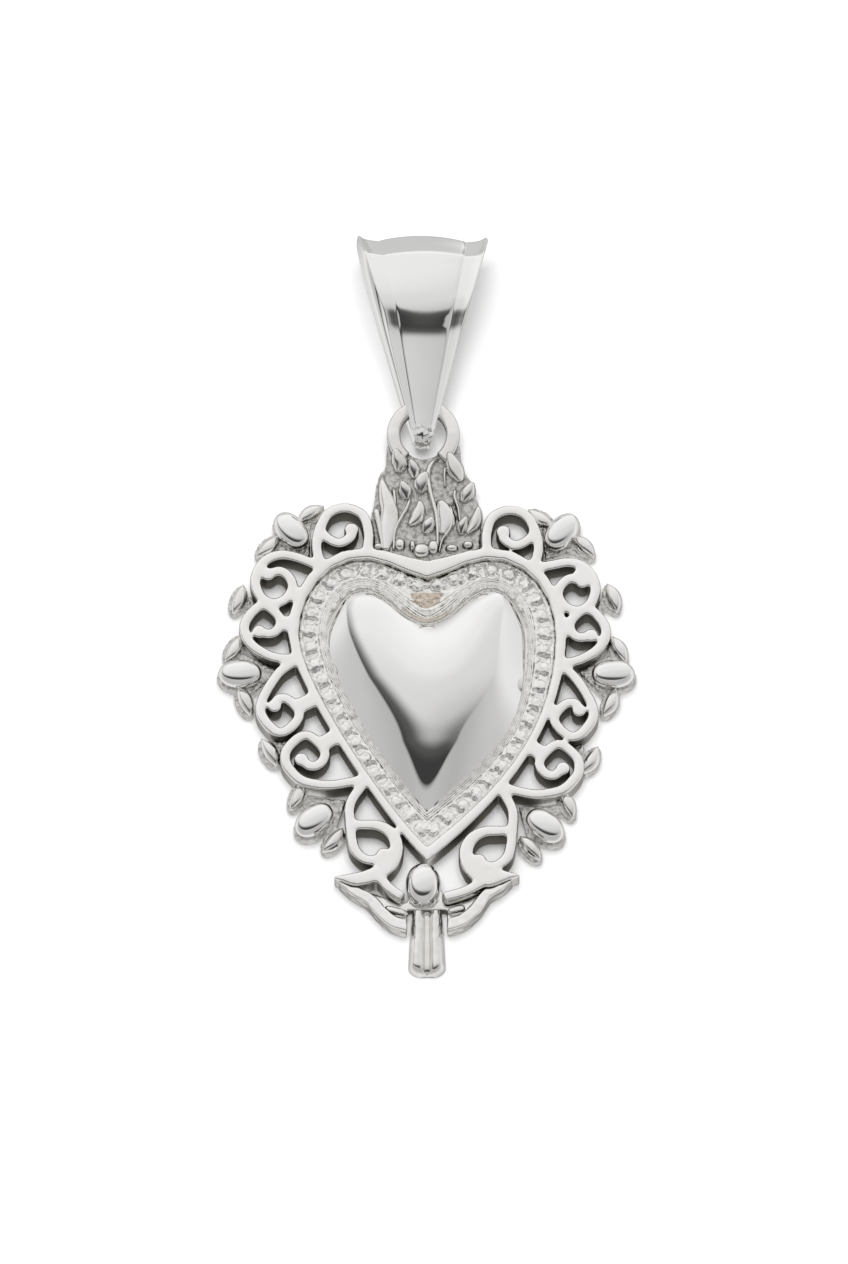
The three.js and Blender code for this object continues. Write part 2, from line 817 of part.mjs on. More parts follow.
function flamePlateSolid(cutter) {
  const right = FLAME_EDGE[1].map(flamePoint);
  const left = FLAME_EDGE[-1].map(flamePoint);
  const smooth = curveThrough(right).getSpacedPoints(FLAME_EDGE_STEPS);
  const other = curveThrough(left).getSpacedPoints(FLAME_EDGE_STEPS).reverse();
  const outline = [...smooth, ...other].map((p) => vec(p.x, p.y));
  const hole = disc(vec(EYELET_X, EYELET_Y), EYELET_HOLE, -CUT_MARGIN, PLATE, EYELET_STEPS);
  return largest(prism(outline, 0, SHEET).subtract(hole).subtract(cutter));
}

// Arch of wire over the hole, its two feet on the plate
function eyeletSolid() {
  const across = EYELET_WALL / 2;
  const deep = EYELET_WIRE / 2;
  const chamfer = EYELET_CHAMFER;
  const section = [
    [across, deep - chamfer],
    [across - chamfer, deep],
    [chamfer - across, deep],
    [-across, deep - chamfer],
    [-across, chamfer - deep],
    [chamfer - across, -deep],
    [across - chamfer, -deep],
    [across, chamfer - deep],
  ];
  const rings = [];
  for (let i = 0; i <= EYELET_STEPS; i++) {
    const angle = -EYELET_OPEN + (i / EYELET_STEPS) * (180 + 2 * EYELET_OPEN);
    rings.push(
      section.map(([out, up]) => {
        const p = polar(vec(EYELET_X, EYELET_Y), angle, WIRE_RADIUS + out);
        return new THREE.Vector3(p.x, p.y, HINGE_Z + up);
      }),
    );
  }
  return skin(rings.reverse(), false);
}

// Bowl and stem

// Flared plate with a rounded foot, and two reeds along it
function stemSolid() {
  const top = BOWL_Y - STEM_DROP;
  const foot = top - STEM_LENGTH;
  const flare = STEM_FOOT_HALF_WIDTH - STEM_FOOT_ROUND;
  const half = [
    vec(STEM_HALF_WIDTH, top),
    vec(STEM_FOOT_HALF_WIDTH, foot + 3 * STEM_FOOT_ROUND),
    vec(STEM_FOOT_HALF_WIDTH, foot + STEM_FOOT_ROUND + STEM_FOOT_SAG),
    vec(flare, foot + STEM_FOOT_SAG / 2),
  ];
  const other = half.map((p) => vec(-p.x, p.y)).reverse();
  const plate = prism([...half, vec(0, foot), ...other].reverse(), 0, WEB);
  const length = STEM_LENGTH - 2 * STEM_FOOT_ROUND;
  const reeds = [-1, 1].map((place) => {
    const reed = new THREE.CylinderGeometry(STEM_REED, STEM_REED, length, STEM_SIDES);
    reed.scale(1, 1, STEM_REED_RISE / STEM_REED);
    reed.rotateZ(turn(place * STEM_FAN));
    reed.translate(place * STEM_PITCH, top - SEAM - length / 2, WEB);
    return solid(reed);
  });
  return join([plate, ...reeds]);
}

// Middle line of the bowl's rim from each horn to the stem, in shares of the bowl's radius from its middle
const BOWL_EDGE = {
  "-1": [
    [-1.353, -0.152],
    [-1.103, -0.343],
    [-0.882, -0.475],
    [-0.72, -0.666],
    [-0.515, -0.843],
    [-0.25, -0.92],
  ],
  1: [
    [1.324, -0.093],
    [1.147, -0.24],
    [0.93, -0.38],
    [0.76, -0.62],
    [0.544, -0.813],
    [0.25, -0.91],
  ],
};
// The floor's upper edge beside the bottom bead, in the same shares, on the right
const BOWL_FLOOR = [
  [0.32, -0.49],
  [0.22, -0.25],
];

function bowlSolid(cutter) {
  const spot = ([x, y]) => vec(x * BOWL_RADIUS, BOWL_Y + y * BOWL_RADIUS);
  const width = (share) => BOWL_RIM_TIP + (BOWL_RIM - BOWL_RIM_TIP) * Math.sin((Math.PI / 2) * Math.sqrt(share));
  const left = BOWL_EDGE[-1].map(spot);
  const right = BOWL_EDGE[1].map(spot);
  const floor = [
    ...left,
    ...right.slice().reverse(),
    ...BOWL_FLOOR.map(spot),
    vec(0, BAND_TIP),
    ...BOWL_FLOOR.map(([x, y]) => spot([-x, y])).reverse(),
  ];
  const whole = join([
    prism(floor, 0, WEB),
    bar(left, width, 0, BOWL_TOP),
    bar(right, width, 0, BOWL_TOP),
  ]);
  const half = STEM_FOOT_HALF_WIDTH + SEAM;
  const slot = new THREE.BoxGeometry(2 * half, STEM_LENGTH, 2 * (PLATE + CUT_MARGIN));
  slot.translate(0, BOWL_Y - STEM_DROP + SEAM - STEM_LENGTH / 2, 0);
  return largest(whole.subtract(cutter).subtract(solid(slot)));
}

// Bail

// The two leaves of the loop: shares of its inner length, and of the swell from the wire's run to its deepest
const BAIL_FRONT = [
  [0.233, 0.22],
  [0.395, 0.42],
  [0.465, 0.57],
  [0.535, 0.8],
  [0.605, 0.94],
  [0.72, 1],
  [0.849, 0.93],
  [0.91, 0.66],
];
const BAIL_BACK = [
  [0.33, 0.5],
  [0.65, 0.8],
  [0.88, 0.5],
];
// The last knot before the fold at the top, and the roundness of the nose
const BAIL_FOLD = 0.975;
const BAIL_FOLD_DEPTH = 0.45;
const BAIL_NOSE_ROUND = 0.72;

// Strap sections round the loop, in the bail's own frame: hinge line at the origin, Y along the bail
function bailSections() {
  const deep = BAIL_INNER_HALF_DEPTH;
  const leaf = (shares) => [
    [-NOSE_REACH * BAIL_NOSE_ROUND, WIRE_REACH * BAIL_NOSE_ROUND],
    [0, WIRE_REACH],
    ...shares.map(([along, out]) => [BAIL_INNER_LENGTH * along, WIRE_REACH + (deep - WIRE_REACH) * out]),
    [BAIL_INNER_LENGTH * BAIL_FOLD, deep * BAIL_FOLD_DEPTH],
  ];
  const back = leaf(BAIL_BACK).map(([along, out]) => [along, -out]);
  const loop = [[-NOSE_REACH, 0], ...leaf(BAIL_FRONT), [BAIL_INNER_LENGTH, 0], ...back.reverse()];
  const knots = loop.map(([along, out]) => new THREE.Vector3(0, along, out));
  const curve = new THREE.CatmullRomCurve3(knots, true, "centripetal");
  const nose = -NOSE_REACH - BAIL_STRAP;
  const top = BAIL_INNER_LENGTH + BAIL_STRAP;
  const sections = [];
  for (let i = 0; i < BAIL_STEPS; i++) {
    const p = curve.getPointAt(i / BAIL_STEPS);
    const along = curve.getTangentAt(i / BAIL_STEPS);
    const share = THREE.MathUtils.clamp((p.y - nose) / (top - nose), 0, 1);
    const width = BAIL_NOSE_WIDTH + (BAIL_TOP_WIDTH - BAIL_NOSE_WIDTH) * share;
    const size = width / BAIL_TOP_WIDTH;
    const crown = BAIL_STRAP + BAIL_CROWN * size;
    const shoulder = BAIL_STRAP + BAIL_CROWN * size * BAIL_SHOULDER_RISE;
    const lip = BAIL_STRAP + BAIL_LIP * size;
    const panel = BAIL_STRAP + BAIL_LIP * size * BAIL_PANEL_RISE;
    const profile = [
      [-BAIL_DRAFT, 0],
      [-1, lip],
      [-BAIL_PANEL, panel],
      [-BAIL_CREASE, BAIL_STRAP],
      [-BAIL_CREASE / 2, shoulder],
      [0, crown],
      [BAIL_CREASE / 2, shoulder],
      [BAIL_CREASE, BAIL_STRAP],
      [BAIL_PANEL, panel],
      [1, lip],
      [BAIL_DRAFT, 0],
      [0, 0],
    ];
    sections.push(
      profile.map(
        ([across, out]) =>
          new THREE.Vector3(
            (across * width) / 2,
            p.y - along.z * out,
            p.z + along.y * out,
          ),
      ),
    );
  }
  return sections;
}

// The bail as it lies: rolled a little, then raised until it just rests on the table
function bailSolid() {
  const roll = new THREE.Matrix4().makeRotationY(turn(BAIL_ROLL));
  const sections = bailSections().map((ring) => ring.map((p) => p.applyMatrix4(roll)));
  const lowest = (lift) =>
    Math.min(
      ...sections.flat().map((p) => HINGE.z + p.y * Math.sin(lift) + p.z * Math.cos(lift)),
    );
  let lift = 0;
  while (lowest(lift) < 0 && lift < BAIL_LIFT_LIMIT) lift += BAIL_LIFT_STEP;
  const pose = new THREE.Matrix4()
    .makeTranslation(HINGE.x + BAIL_SLIDE, HINGE.y, HINGE.z)
    .multiply(new THREE.Matrix4().makeRotationX(lift));
  return skin(
    sections.map((ring) => ring.map((p) => p.applyMatrix4(pose))),
    true,
  );
}

// Assembly

const pendant = new THREE.Group();

function piece(name, body, color, roughness) {
  const material = new THREE.MeshStandardMaterial({ color, roughness, metalness: 1 });
  const mesh = new THREE.Mesh(geometryOf(body), material);
  mesh.name = name;
  pendant.add(mesh);
}

const POLISHED = 0xdedcd8;
const BRIGHT = 0xe6e5e2;
const SATIN = 0xc9c5bd;

const cutter = frameCutter();
piece("scroll_frame", frameSolid(0, PLATE, 0), POLISHED, 0.18);
piece("heart_dome", domeSolid(), BRIGHT, 0.08);
const border = borderSolid();
piece("beaded_border", border, POLISHED, 0.24);
piece("bezel_rim", rimSolid(), POLISHED, 0.2);
piece("cleft_shield", shieldSolid().subtract(border), SATIN, 0.5);
piece("flame_plate", flamePlateSolid(cutter), SATIN, 0.36);
piece("eyelet_ring", eyeletSolid(), POLISHED, 0.18);
const tongueFoot = SHEET + SEAM;
let taken = null;
TONGUES.forEach(({ width, line }, i) => {
  const points = line.map(flamePoint);
  const whole = ridge(points, width, tongueFoot, tongueFoot + TONGUE_RISE);
  const body = taken ? largest(whole.subtract(taken)) : whole;
  piece("flame_tongue_" + String(i + 1).padStart(2, "0"), body, POLISHED, 0.2);
  const clear = ridge(points, width + 4 * SEAM, tongueFoot - SEAM, tongueFoot + TONGUE_RISE + CUT_MARGIN);
  taken = taken ? taken.add(clear) : clear;
});
Object.entries(SIDES).forEach(([sideName, side]) => {
  Object.entries(SPRAYS).forEach(([name, spray]) => {
    const angle = facing(side, spray.bead.angle);
    const centre = placeOf(side, spray.bead);
    const bead = beadSolid(centre, angle, BEAD_LENGTH, BEAD_WIDTH, WEB + SEAM);
    piece("bead_" + name + "_" + sideName, bead.subtract(cutter), BRIGHT, 0.12);
    piece("leaf_spray_" + name + "_" + sideName, spraySolid(side, spray, cutter), SATIN, 0.34);
  });
  Object.entries(BUDS).forEach(([name, bud]) => {
    piece("leaf_bud_" + name + "_" + sideName, budSolid(side, bud, cutter), SATIN, 0.34);
  });
});
const bottomBead = vec(BOTTOM_BEAD_X, BAND_TIP - SEAM - BOTTOM_BEAD_LENGTH / 2);
piece(
  "bead_bottom",
  beadSolid(bottomBead, 90, BOTTOM_BEAD_LENGTH, BOTTOM_BEAD_WIDTH, WEB + SEAM),
  BRIGHT,
  0.12,
);
const stem = stemSolid();
piece("crescent_bowl", bowlSolid(cutter), POLISHED, 0.24);
piece("finial_stem", stem, POLISHED, 0.22);
piece("bail_strap", bailSolid(), BRIGHT, 0.12);

// The part's origin: middle of the overall box, on the table
const box = new THREE.Box3().setFromObject(pendant);
const middle = box.getCenter(new THREE.Vector3());
pendant.position.set(-middle.x, -middle.y, -box.min.z);

const root = new THREE.Group();
root.add(pendant);
export default root;
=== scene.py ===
"""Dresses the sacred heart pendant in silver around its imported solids.

Sizes are millimetres in the drawing frame: X right, Y towards the bail, Z out of the face, with the origin
on the axis at the heart's widest line, on the back plane. A finished mesh is moved from there into the
part's frame, in metres.
"""

import json
import logging
import math
from dataclasses import dataclass, field, replace
from enum import Enum
from typing import Callable, Sequence

import bmesh
import bpy
import numpy as np
from mathutils import Matrix, Vector, noise


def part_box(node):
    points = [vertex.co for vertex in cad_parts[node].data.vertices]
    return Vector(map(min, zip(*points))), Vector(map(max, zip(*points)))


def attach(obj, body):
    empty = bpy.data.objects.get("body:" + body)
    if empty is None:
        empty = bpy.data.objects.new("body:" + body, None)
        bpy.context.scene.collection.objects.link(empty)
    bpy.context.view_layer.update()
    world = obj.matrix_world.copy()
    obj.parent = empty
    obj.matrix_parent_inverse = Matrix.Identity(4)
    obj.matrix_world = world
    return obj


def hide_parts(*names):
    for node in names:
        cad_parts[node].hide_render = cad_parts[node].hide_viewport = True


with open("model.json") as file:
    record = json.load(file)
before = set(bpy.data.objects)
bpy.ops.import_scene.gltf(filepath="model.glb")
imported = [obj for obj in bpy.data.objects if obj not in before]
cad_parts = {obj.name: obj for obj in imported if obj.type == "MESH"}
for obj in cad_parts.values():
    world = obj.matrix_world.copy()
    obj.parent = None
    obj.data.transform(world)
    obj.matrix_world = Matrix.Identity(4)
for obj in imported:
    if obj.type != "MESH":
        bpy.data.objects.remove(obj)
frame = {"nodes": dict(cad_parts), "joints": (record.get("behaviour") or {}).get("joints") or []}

LOG = logging.getLogger("pendant")
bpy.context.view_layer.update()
MM = 0.001
PENDANT = "pendant"
BAIL = "bail"
# The hinge line in the drawing frame, which ties the drawing to the part's frame
HINGE_Z = 1.3847
HINGE_DRAWN = Vector((0.0, 12.75, HINGE_Z))
HINGE = Vector(frame["joints"][0]["pos_m"])
INTO_PART = Matrix.Translation(HINGE - HINGE_DRAWN * MM) @ Matrix.Scale(MM, 4)
Points = np.ndarray
Pair = tuple[float, float]
Triple = tuple[float, float, float]
Pairs = tuple[Pair, ...]
Swell = Callable[[Points], Points]
Mesh = bmesh.types.BMesh
Socket = bpy.types.NodeSocket
Stroke = tuple[float, Pairs]
Inputs = dict[str | int, object]


class Side(Enum):
    """The two halves of the pendant, as signs of X."""

    LEFT = -1
    RIGHT = 1


class Slot(Enum):
    """The record's material slots."""

    POLISHED = "polished_silver"
    BUFFED = "buffed_silver"
    CAST = "cast_silver"
    TONED = "toned_silver"


# Lines and outlines


def along(points: Points, shares: Points) -> Points:
    """Finds points along a polyline.

    Args:
        points: The polyline's points.
        shares: Shares of its length, from 0 to 1.

    Returns:
        One point for each share.
    """
    steps = np.linalg.norm(np.diff(points, axis=0), axis=1)
    reach = np.concatenate(([0.0], np.cumsum(steps)))
    wanted = np.asarray(shares) * reach[-1]
    return np.stack([np.interp(wanted, reach, column) for column in points.T], axis=1)


def bezier(a: Points, b: Points, c: Points, d: Points, steps: int = 60) -> Points:
    """Samples a cubic curve from a to d with handles b and c.

    Args:
        a: The start.
        b: The start's handle.
        c: The end's handle.
        d: The end.
        steps: How many spans the curve is cut into.

    Returns:
        The sampled points.
    """
    t = np.linspace(0.0, 1.0, steps + 1)[:, None]
    s = 1.0 - t
    return s**3 * a + 3 * s**2 * t * b + 3 * s * t**2 * c + t**3 * d


def curve_through(knots: Sequence[Sequence[float]], per_span: int = 16) -> Points:
    """Draws a smooth line through knots, evenly tight at every knot.

    Args:
        knots: The points that the line passes.
        per_span: Points between one knot and the next.

    Returns:
        The line as a fine polyline.
    """
    k = np.asarray(knots, float)
    k = np.vstack([2 * k[0] - k[1], k, 2 * k[-1] - k[-2]])
    line = []
    for p0, p1, p2, p3 in zip(k, k[1:], k[2:], k[3:]):
        times = [0.0]
        for start, end in ((p0, p1), (p1, p2), (p2, p3)):
            times.append(times[-1] + math.sqrt(np.linalg.norm(end - start)))
        t0, t1, t2, t3 = times
        t = np.linspace(t1, t2, per_span, endpoint=False)[:, None]
        a1 = ((t1 - t) * p0 + (t - t0) * p1) / (t1 - t0)
        a2 = ((t2 - t) * p1 + (t - t1) * p2) / (t2 - t1)
        a3 = ((t3 - t) * p2 + (t - t2) * p3) / (t3 - t2)
        b1 = ((t2 - t) * a1 + (t - t0) * a2) / (t2 - t0)
        b2 = ((t3 - t) * a2 + (t - t1) * a3) / (t3 - t1)
        line.append(((t2 - t) * b1 + (t - t1) * b2) / (t2 - t1))
    return np.vstack([*line, k[-2][None]])


def smooth_step(value: Points, start: float, end: float) -> Points:
    """Eases from 0 to 1 between two values.

    Args:
        value: The values.
        start: Where it is 0.
        end: Where it is 1.

    Returns:
        The share at each value.
    """
    share = np.clip((value - start) / (end - start), 0.0, 1.0)
    return share * share * (3 - 2 * share)


def tangents(points: Points, closed: bool = False) -> Points:
    """Gives the unit direction of a polyline at each of its points.

    Args:
        points: The polyline's points.
        closed: Whether the last point leads back to the first.

    Returns:
        One unit vector for each point.
    """
    if closed:
        ahead = np.roll(points, -1, axis=0) - np.roll(points, 1, axis=0)
    else:
        ahead = np.gradient(points, axis=0)
    return ahead / np.linalg.norm(ahead, axis=1)[:, None]


@dataclass(frozen=True)
class Heart:
    """The heart's outline at the band's inner edge, and the outlines inset from it."""

    half_width: float = 6.82
    lobe_x: float = 3.39
    lobe_rise: float = 4.29
    cleft_drop: float = 1.13
    tip_drop: float = 12.07
    cleft_spread: float = 1.7
    tip_spread: float = 1.48
    band: float = 0.55
    quarter_round: float = 0.552
    cleft_lean: float = 0.3
    cleft_rise: float = 0.15
    lobe_lean: float = 0.6
    flank_drop: Pair = (2.6, 5.3)
    flank_out: Pair = (1.9, 3.9)
    flank_rise: Pair = (1.87, 3.27)

    def half(self, side: Side, inset: float, spread: float | None = None) -> Points:
        """Draws one half of the outline from cleft to tip.

        Args:
            side: Which half.
            inset: How far in from the band's inner edge; negative is out.
            spread: How much more than the inset the cleft drops.

        Returns:
            A fine polyline.
        """
        which = 0 if side is Side.LEFT else 1
        width = self.half_width - inset
        top = self.lobe_rise - inset
        drop = self.cleft_spread if spread is None else spread
        cleft = self.lobe_rise - self.cleft_drop - drop * inset
        tip = -self.tip_drop + self.tip_spread * inset
        lobe = self.lobe_x
        flip = np.array((side.value, 1.0))

        def at(x: float, y: float) -> Points:
            """Gives a point of this half."""
            return np.array((x, y)) * flip

        runs = [
            bezier(
                at(0, cleft),
                at(self.cleft_lean * lobe, cleft + self.cleft_rise * (top - cleft)),
                at(self.lobe_lean * lobe, top),
                at(lobe, top),
            ),
            bezier(
                at(lobe, top),
                at(lobe + self.quarter_round * (width - lobe), top),
                at(width, self.quarter_round * top),
                at(width, 0),
            ),
            bezier(
                at(width, 0),
                at(width, -self.flank_drop[which]),
                at(self.flank_out[which], tip + self.flank_rise[which]),
                at(0, tip),
            ),
        ]
        return np.vstack([runs[0], runs[1][1:], runs[2][1:]])

    def outline(self, inset: float, steps: int) -> Points:
        """Draws the closed outline from the cleft down the right and up the left.

        Args:
            inset: How far in from the band's inner edge.
            steps: Spans in each half.

        Returns:
            Twice that many points.
        """
        shares = np.linspace(0.0, 1.0, steps + 1)
        right = along(self.half(Side.RIGHT, inset), shares)
        left = along(self.half(Side.LEFT, inset), shares)
        return np.vstack([right[:-1], left[:0:-1]])

    def beside(self, side: Side, share: float, out: float) -> Vector:
        """Finds a place outside the band.

        Args:
            side: Which half.
            share: Share of the half outline from cleft to tip.
            out: Distance out from the band's outer edge.

        Returns:
            The place, on the back plane.
        """
        edge = self.half(side, -self.band)
        before, here, after = along(edge, np.array((share - 1e-3, share, share + 1e-3)))
        ahead = (after - before) / np.linalg.norm(after - before)
        normal = np.array((-ahead[1], ahead[0])) * side.value
        place = here + normal * out
        return Vector((place[0], place[1], 0.0))


HEART = Heart()


# Mesh tools


def skin(rows: Points, round_across: bool, round_along: bool) -> Mesh:
    """Skins rows of points by laying a grid over them; open ends are filled.

    Args:
        rows: Places as an array of rows by points by three.
        round_across: Whether each row closes on itself.
        round_along: Whether the last row leads back to the first.

    Returns:
        A new mesh with its faces outwards.
    """
    if round_across:
        rows = np.concatenate([rows, rows[:, :1]], axis=1)
    if round_along:
        rows = np.concatenate([rows, rows[:1]], axis=0)
    bm = bmesh.new()
    bmesh.ops.create_grid(bm, x_segments=rows.shape[1] - 1, y_segments=rows.shape[0] - 1, size=1.0)
    for vert, place in zip(bm.verts, rows.reshape(-1, 3)):
        vert.co = place
    bmesh.ops.remove_doubles(bm, verts=bm.verts, dist=1e-5)
    rims = [edge for edge in bm.edges if edge.is_boundary]
    bmesh.ops.holes_fill(bm, edges=rims, sides=0)
    bmesh.ops.recalc_face_normals(bm, faces=bm.faces)
    return bm


def tube(line: Points, radius: float, sides: int, closed: bool) -> Mesh:
    """Makes a round wire along a line.

    Args:
        line: Points of the wire's middle.
        radius: The wire's radius.
        sides: Sides of its section.
        closed: Whether the wire is a loop.

    Returns:
        A new mesh.
    """
    ahead = tangents(line, closed)
    across = np.cross(ahead, (0.0, 0.0, 1.0))
    across /= np.linalg.norm(across, axis=1)[:, None]
    up = np.cross(across, ahead)
    turn = np.linspace(0.0, 2 * math.pi, sides, endpoint=False)
    ring = across[:, None] * np.cos(turn)[:, None] + up[:, None] * np.sin(turn)[:, None]
    return skin(line[:, None] + radius * ring, True, closed)


def pillow(
    bm: Mesh,
    centre: Vector,
    angle: float,
    size: Triple,
    boxy: float = 1.0,
    segments: tuple[int, int] = (16, 10),
) -> None:
    """Adds an oval pad to a mesh.

    Args:
        bm: The mesh to add to.
        centre: The pad's middle.
        angle: Its turn about Z, in radians.
        size: Half its length, half its width and its rise.
        boxy: Under 1 squares the pad off.
        segments: Faces round it and from pole to pole.
    """
    made = bmesh.ops.create_uvsphere(bm, u_segments=segments[0], v_segments=segments[1], radius=1.0)
    verts = made["verts"]
    for vert in verts:
        vert.co = [math.copysign(abs(x) ** boxy, x) for x in vert.co]
    bmesh.ops.scale(bm, verts=verts, vec=size)
    bmesh.ops.rotate(bm, verts=verts, cent=(0, 0, 0), matrix=Matrix.Rotation(angle, 3, "Z"))
    bmesh.ops.translate(bm, verts=verts, vec=centre)


def bent_lens(
    line: Points,
    width: Swell,
    bottom: float,
    rise: Swell,
    steps: int = 28,
    sides: int = 14,
    crest: float = 1.0,
) -> Mesh:
    """Makes a rounded ridge along a line, with its underside flat.

    Args:
        line: The ridge's middle line, in X and Y.
        width: The width at a share of its length.
        bottom: The height of its foot.
        rise: The rise at a share of its length.
        steps: Sections along it.
        sides: Points across each section.
        crest: Over 1 sharpens the crest.

    Returns:
        A new mesh.
    """
    shares = np.linspace(0.0, 1.0, steps + 1)
    middle = along(line, shares)
    ahead = tangents(middle)
    across = np.stack([-ahead[:, 1], ahead[:, 0]], axis=1)
    turn = np.linspace(0.0, math.pi, sides)
    side = np.cos(turn)
    up = np.sin(turn) ** crest
    half = width(shares) / 2
    flat = middle[:, None] + across[:, None] * (half[:, None] * side)[..., None]
    height = bottom + rise(shares)[:, None] * up
    rows = np.concatenate([flat, height[..., None]], axis=2)
    return skin(rows, True, False)


def spindle(blunt: float, tip: float = 0.06) -> Swell:
    """Gives a swell along a piece that is full in the middle and fine at its ends.

    Args:
        blunt: Under 1 keeps it full for longer.
        tip: The share that is left at each end.

    Returns:
        A function of the share of the length.
    """
    return lambda share: tip + (1 - tip) * np.sin(np.pi * np.clip(share, 0, 1)) ** blunt


def drop(full: float, head: float = 0.4, tail: float = 0.18) -> Swell:
    """Gives the swell of a flame's tongue: a full head that thins towards its root.

    Args:
        full: The largest value.
        head: Share of the length where it is fullest.
        tail: The share of the value left at the root.

    Returns:
        A function of the share of the length.
    """

    def swell(share: Points) -> Points:
        """Gives the swell along the tongue.

        Args:
            share: Shares of the length from the head.

        Returns:
            The value at each share.
        """
        front = np.sin(np.clip(share / head, 0, 1) * np.pi / 2) ** 0.85
        back = tail + (1 - tail) * np.cos(np.clip((share - head) / (1 - head), 0, 1) * np.pi / 2) ** 1.1
        return full * np.maximum(0.05, np.where(share < head, front, back))

    return swell


@dataclass(frozen=True)
class Mould:
    """How a piece is cast: face size, rounds of smoothing, and how far the skin is let out before them."""

    voxel: float
    smooth: int
    swell: float = 0.0

    def cast(self, bm: Mesh) -> Mesh:
        """Casts overlapping closed shapes into one skin with soft edges.

        Args:
            bm: The shapes; it is used up.

        Returns:
            A new mesh.
        """
        mesh = bpy.data.meshes.new("mould")
        bm.to_mesh(mesh)
        bm.free()
        mould = bpy.data.objects.new("mould", mesh)
        bpy.context.scene.collection.objects.link(mould)
        remesh = mould.modifiers.new("cast", "REMESH")
        remesh.mode = "VOXEL"
        remesh.voxel_size = self.voxel
        whole = bmesh.new()
        whole.from_object(mould, bpy.context.evaluated_depsgraph_get())
        bpy.data.objects.remove(mould)
        bpy.data.meshes.remove(mesh)
        whole.normal_update()
        for vert in whole.verts:
            vert.co += vert.normal * self.swell
        for _ in range(self.smooth):
            bmesh.ops.smooth_vert(
                whole, verts=whole.verts, factor=0.5, use_axis_x=True, use_axis_y=True, use_axis_z=True
            )
        return whole


@dataclass(frozen=True)
class Grain:
    """The uneven skin of a casting: the size and depth of a bump, and the places that it is kept to."""

    size: float
    depth: float
    above_z: float = -1.0
    below_y: float = 100.0

    def roughen(self, bm: Mesh) -> None:
        """Moves a mesh's points in and out.

        Args:
            bm: The mesh.
        """
        bm.normal_update()
        for vert in bm.verts:
            if vert.co.z > self.above_z and vert.co.y < self.below_y:
                vert.co += vert.normal * self.depth * noise.noise(vert.co / self.size)


def node_copy(node: str) -> Mesh:
    """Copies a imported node's mesh into the drawing frame, with its corners merged.

    Args:
        node: The node's name.

    Returns:
        A new mesh.
    """
    bm = bmesh.new()
    bm.from_mesh(frame["nodes"][node].data)
    bm.transform(INTO_PART.inverted())
    bmesh.ops.remove_doubles(bm, verts=bm.verts, dist=1e-4)
    return bm


def add_mesh(target: Mesh, part: Mesh) -> None:
    """Moves one mesh into another.

    Args:
        target: The mesh that grows.
        part: The mesh that is used up.
    """
    mesh = bpy.data.meshes.new("part")
    part.to_mesh(mesh)
    part.free()
    target.from_mesh(mesh)
    bpy.data.meshes.remove(mesh)


# Finishes


class Bench:
    """Adds nodes to a node tree and wires them."""

    def __init__(self, tree: bpy.types.NodeTree) -> None:
        """Takes the tree to work on."""
        self.tree = tree

    def wire(self, node: bpy.types.Node, inputs: Inputs) -> None:
        """Sets or links a node's inputs.

        Args:
            node: The node.
            inputs: A value or another node's socket for each input's name or number.
        """
        for name, given in inputs.items():
            if isinstance(given, Socket):
                self.tree.links.new(given, node.inputs[name])
            else:
                node.inputs[name].default_value = given

    def add(self, kind: str, inputs: Inputs, out: str = "", **options: object) -> Socket:
        """Adds a shader node.

        Args:
            kind: The node's kind.
            inputs: What its inputs get.
            out: The output that is wanted, if not the first in use.
            options: The node's own settings.

        Returns:
            That output.
        """
        node = self.tree.nodes.new("ShaderNode" + kind)
        for name, setting in options.items():
            setattr(node, name, setting)
        self.wire(node, inputs)
        return node.outputs[out] if out else next(socket for socket in node.outputs if socket.enabled)

    def between(self, value: Socket, start: Pair, end: Pair = (0.0, 1.0), **options: object) -> Socket:
        """Maps a value from one range to another.

        Args:
            value: The value.
            start: The range that it has.
            end: The range that it gets.
            options: The node's own settings.

        Returns:
            The mapped value.
        """
        inputs = {"From Min": start[0], "From Max": start[1], "To Min": end[0], "To Max": end[1]}
        return self.add("MapRange", {"Value": value, **inputs}, **options)

    def mix(self, share: Socket, start: object, end: object, kind: str = "RGBA") -> Socket:
        """Mixes two colours or values, each given as a socket or as it is."""
        return self.add("Mix", {"Factor": share, "A": start, "B": end}, data_type=kind)

    def times(self, first: Socket, second: Socket) -> Socket:
        """Multiplies two values."""
        return self.add("Math", {0: first, 1: second}, operation="MULTIPLY")


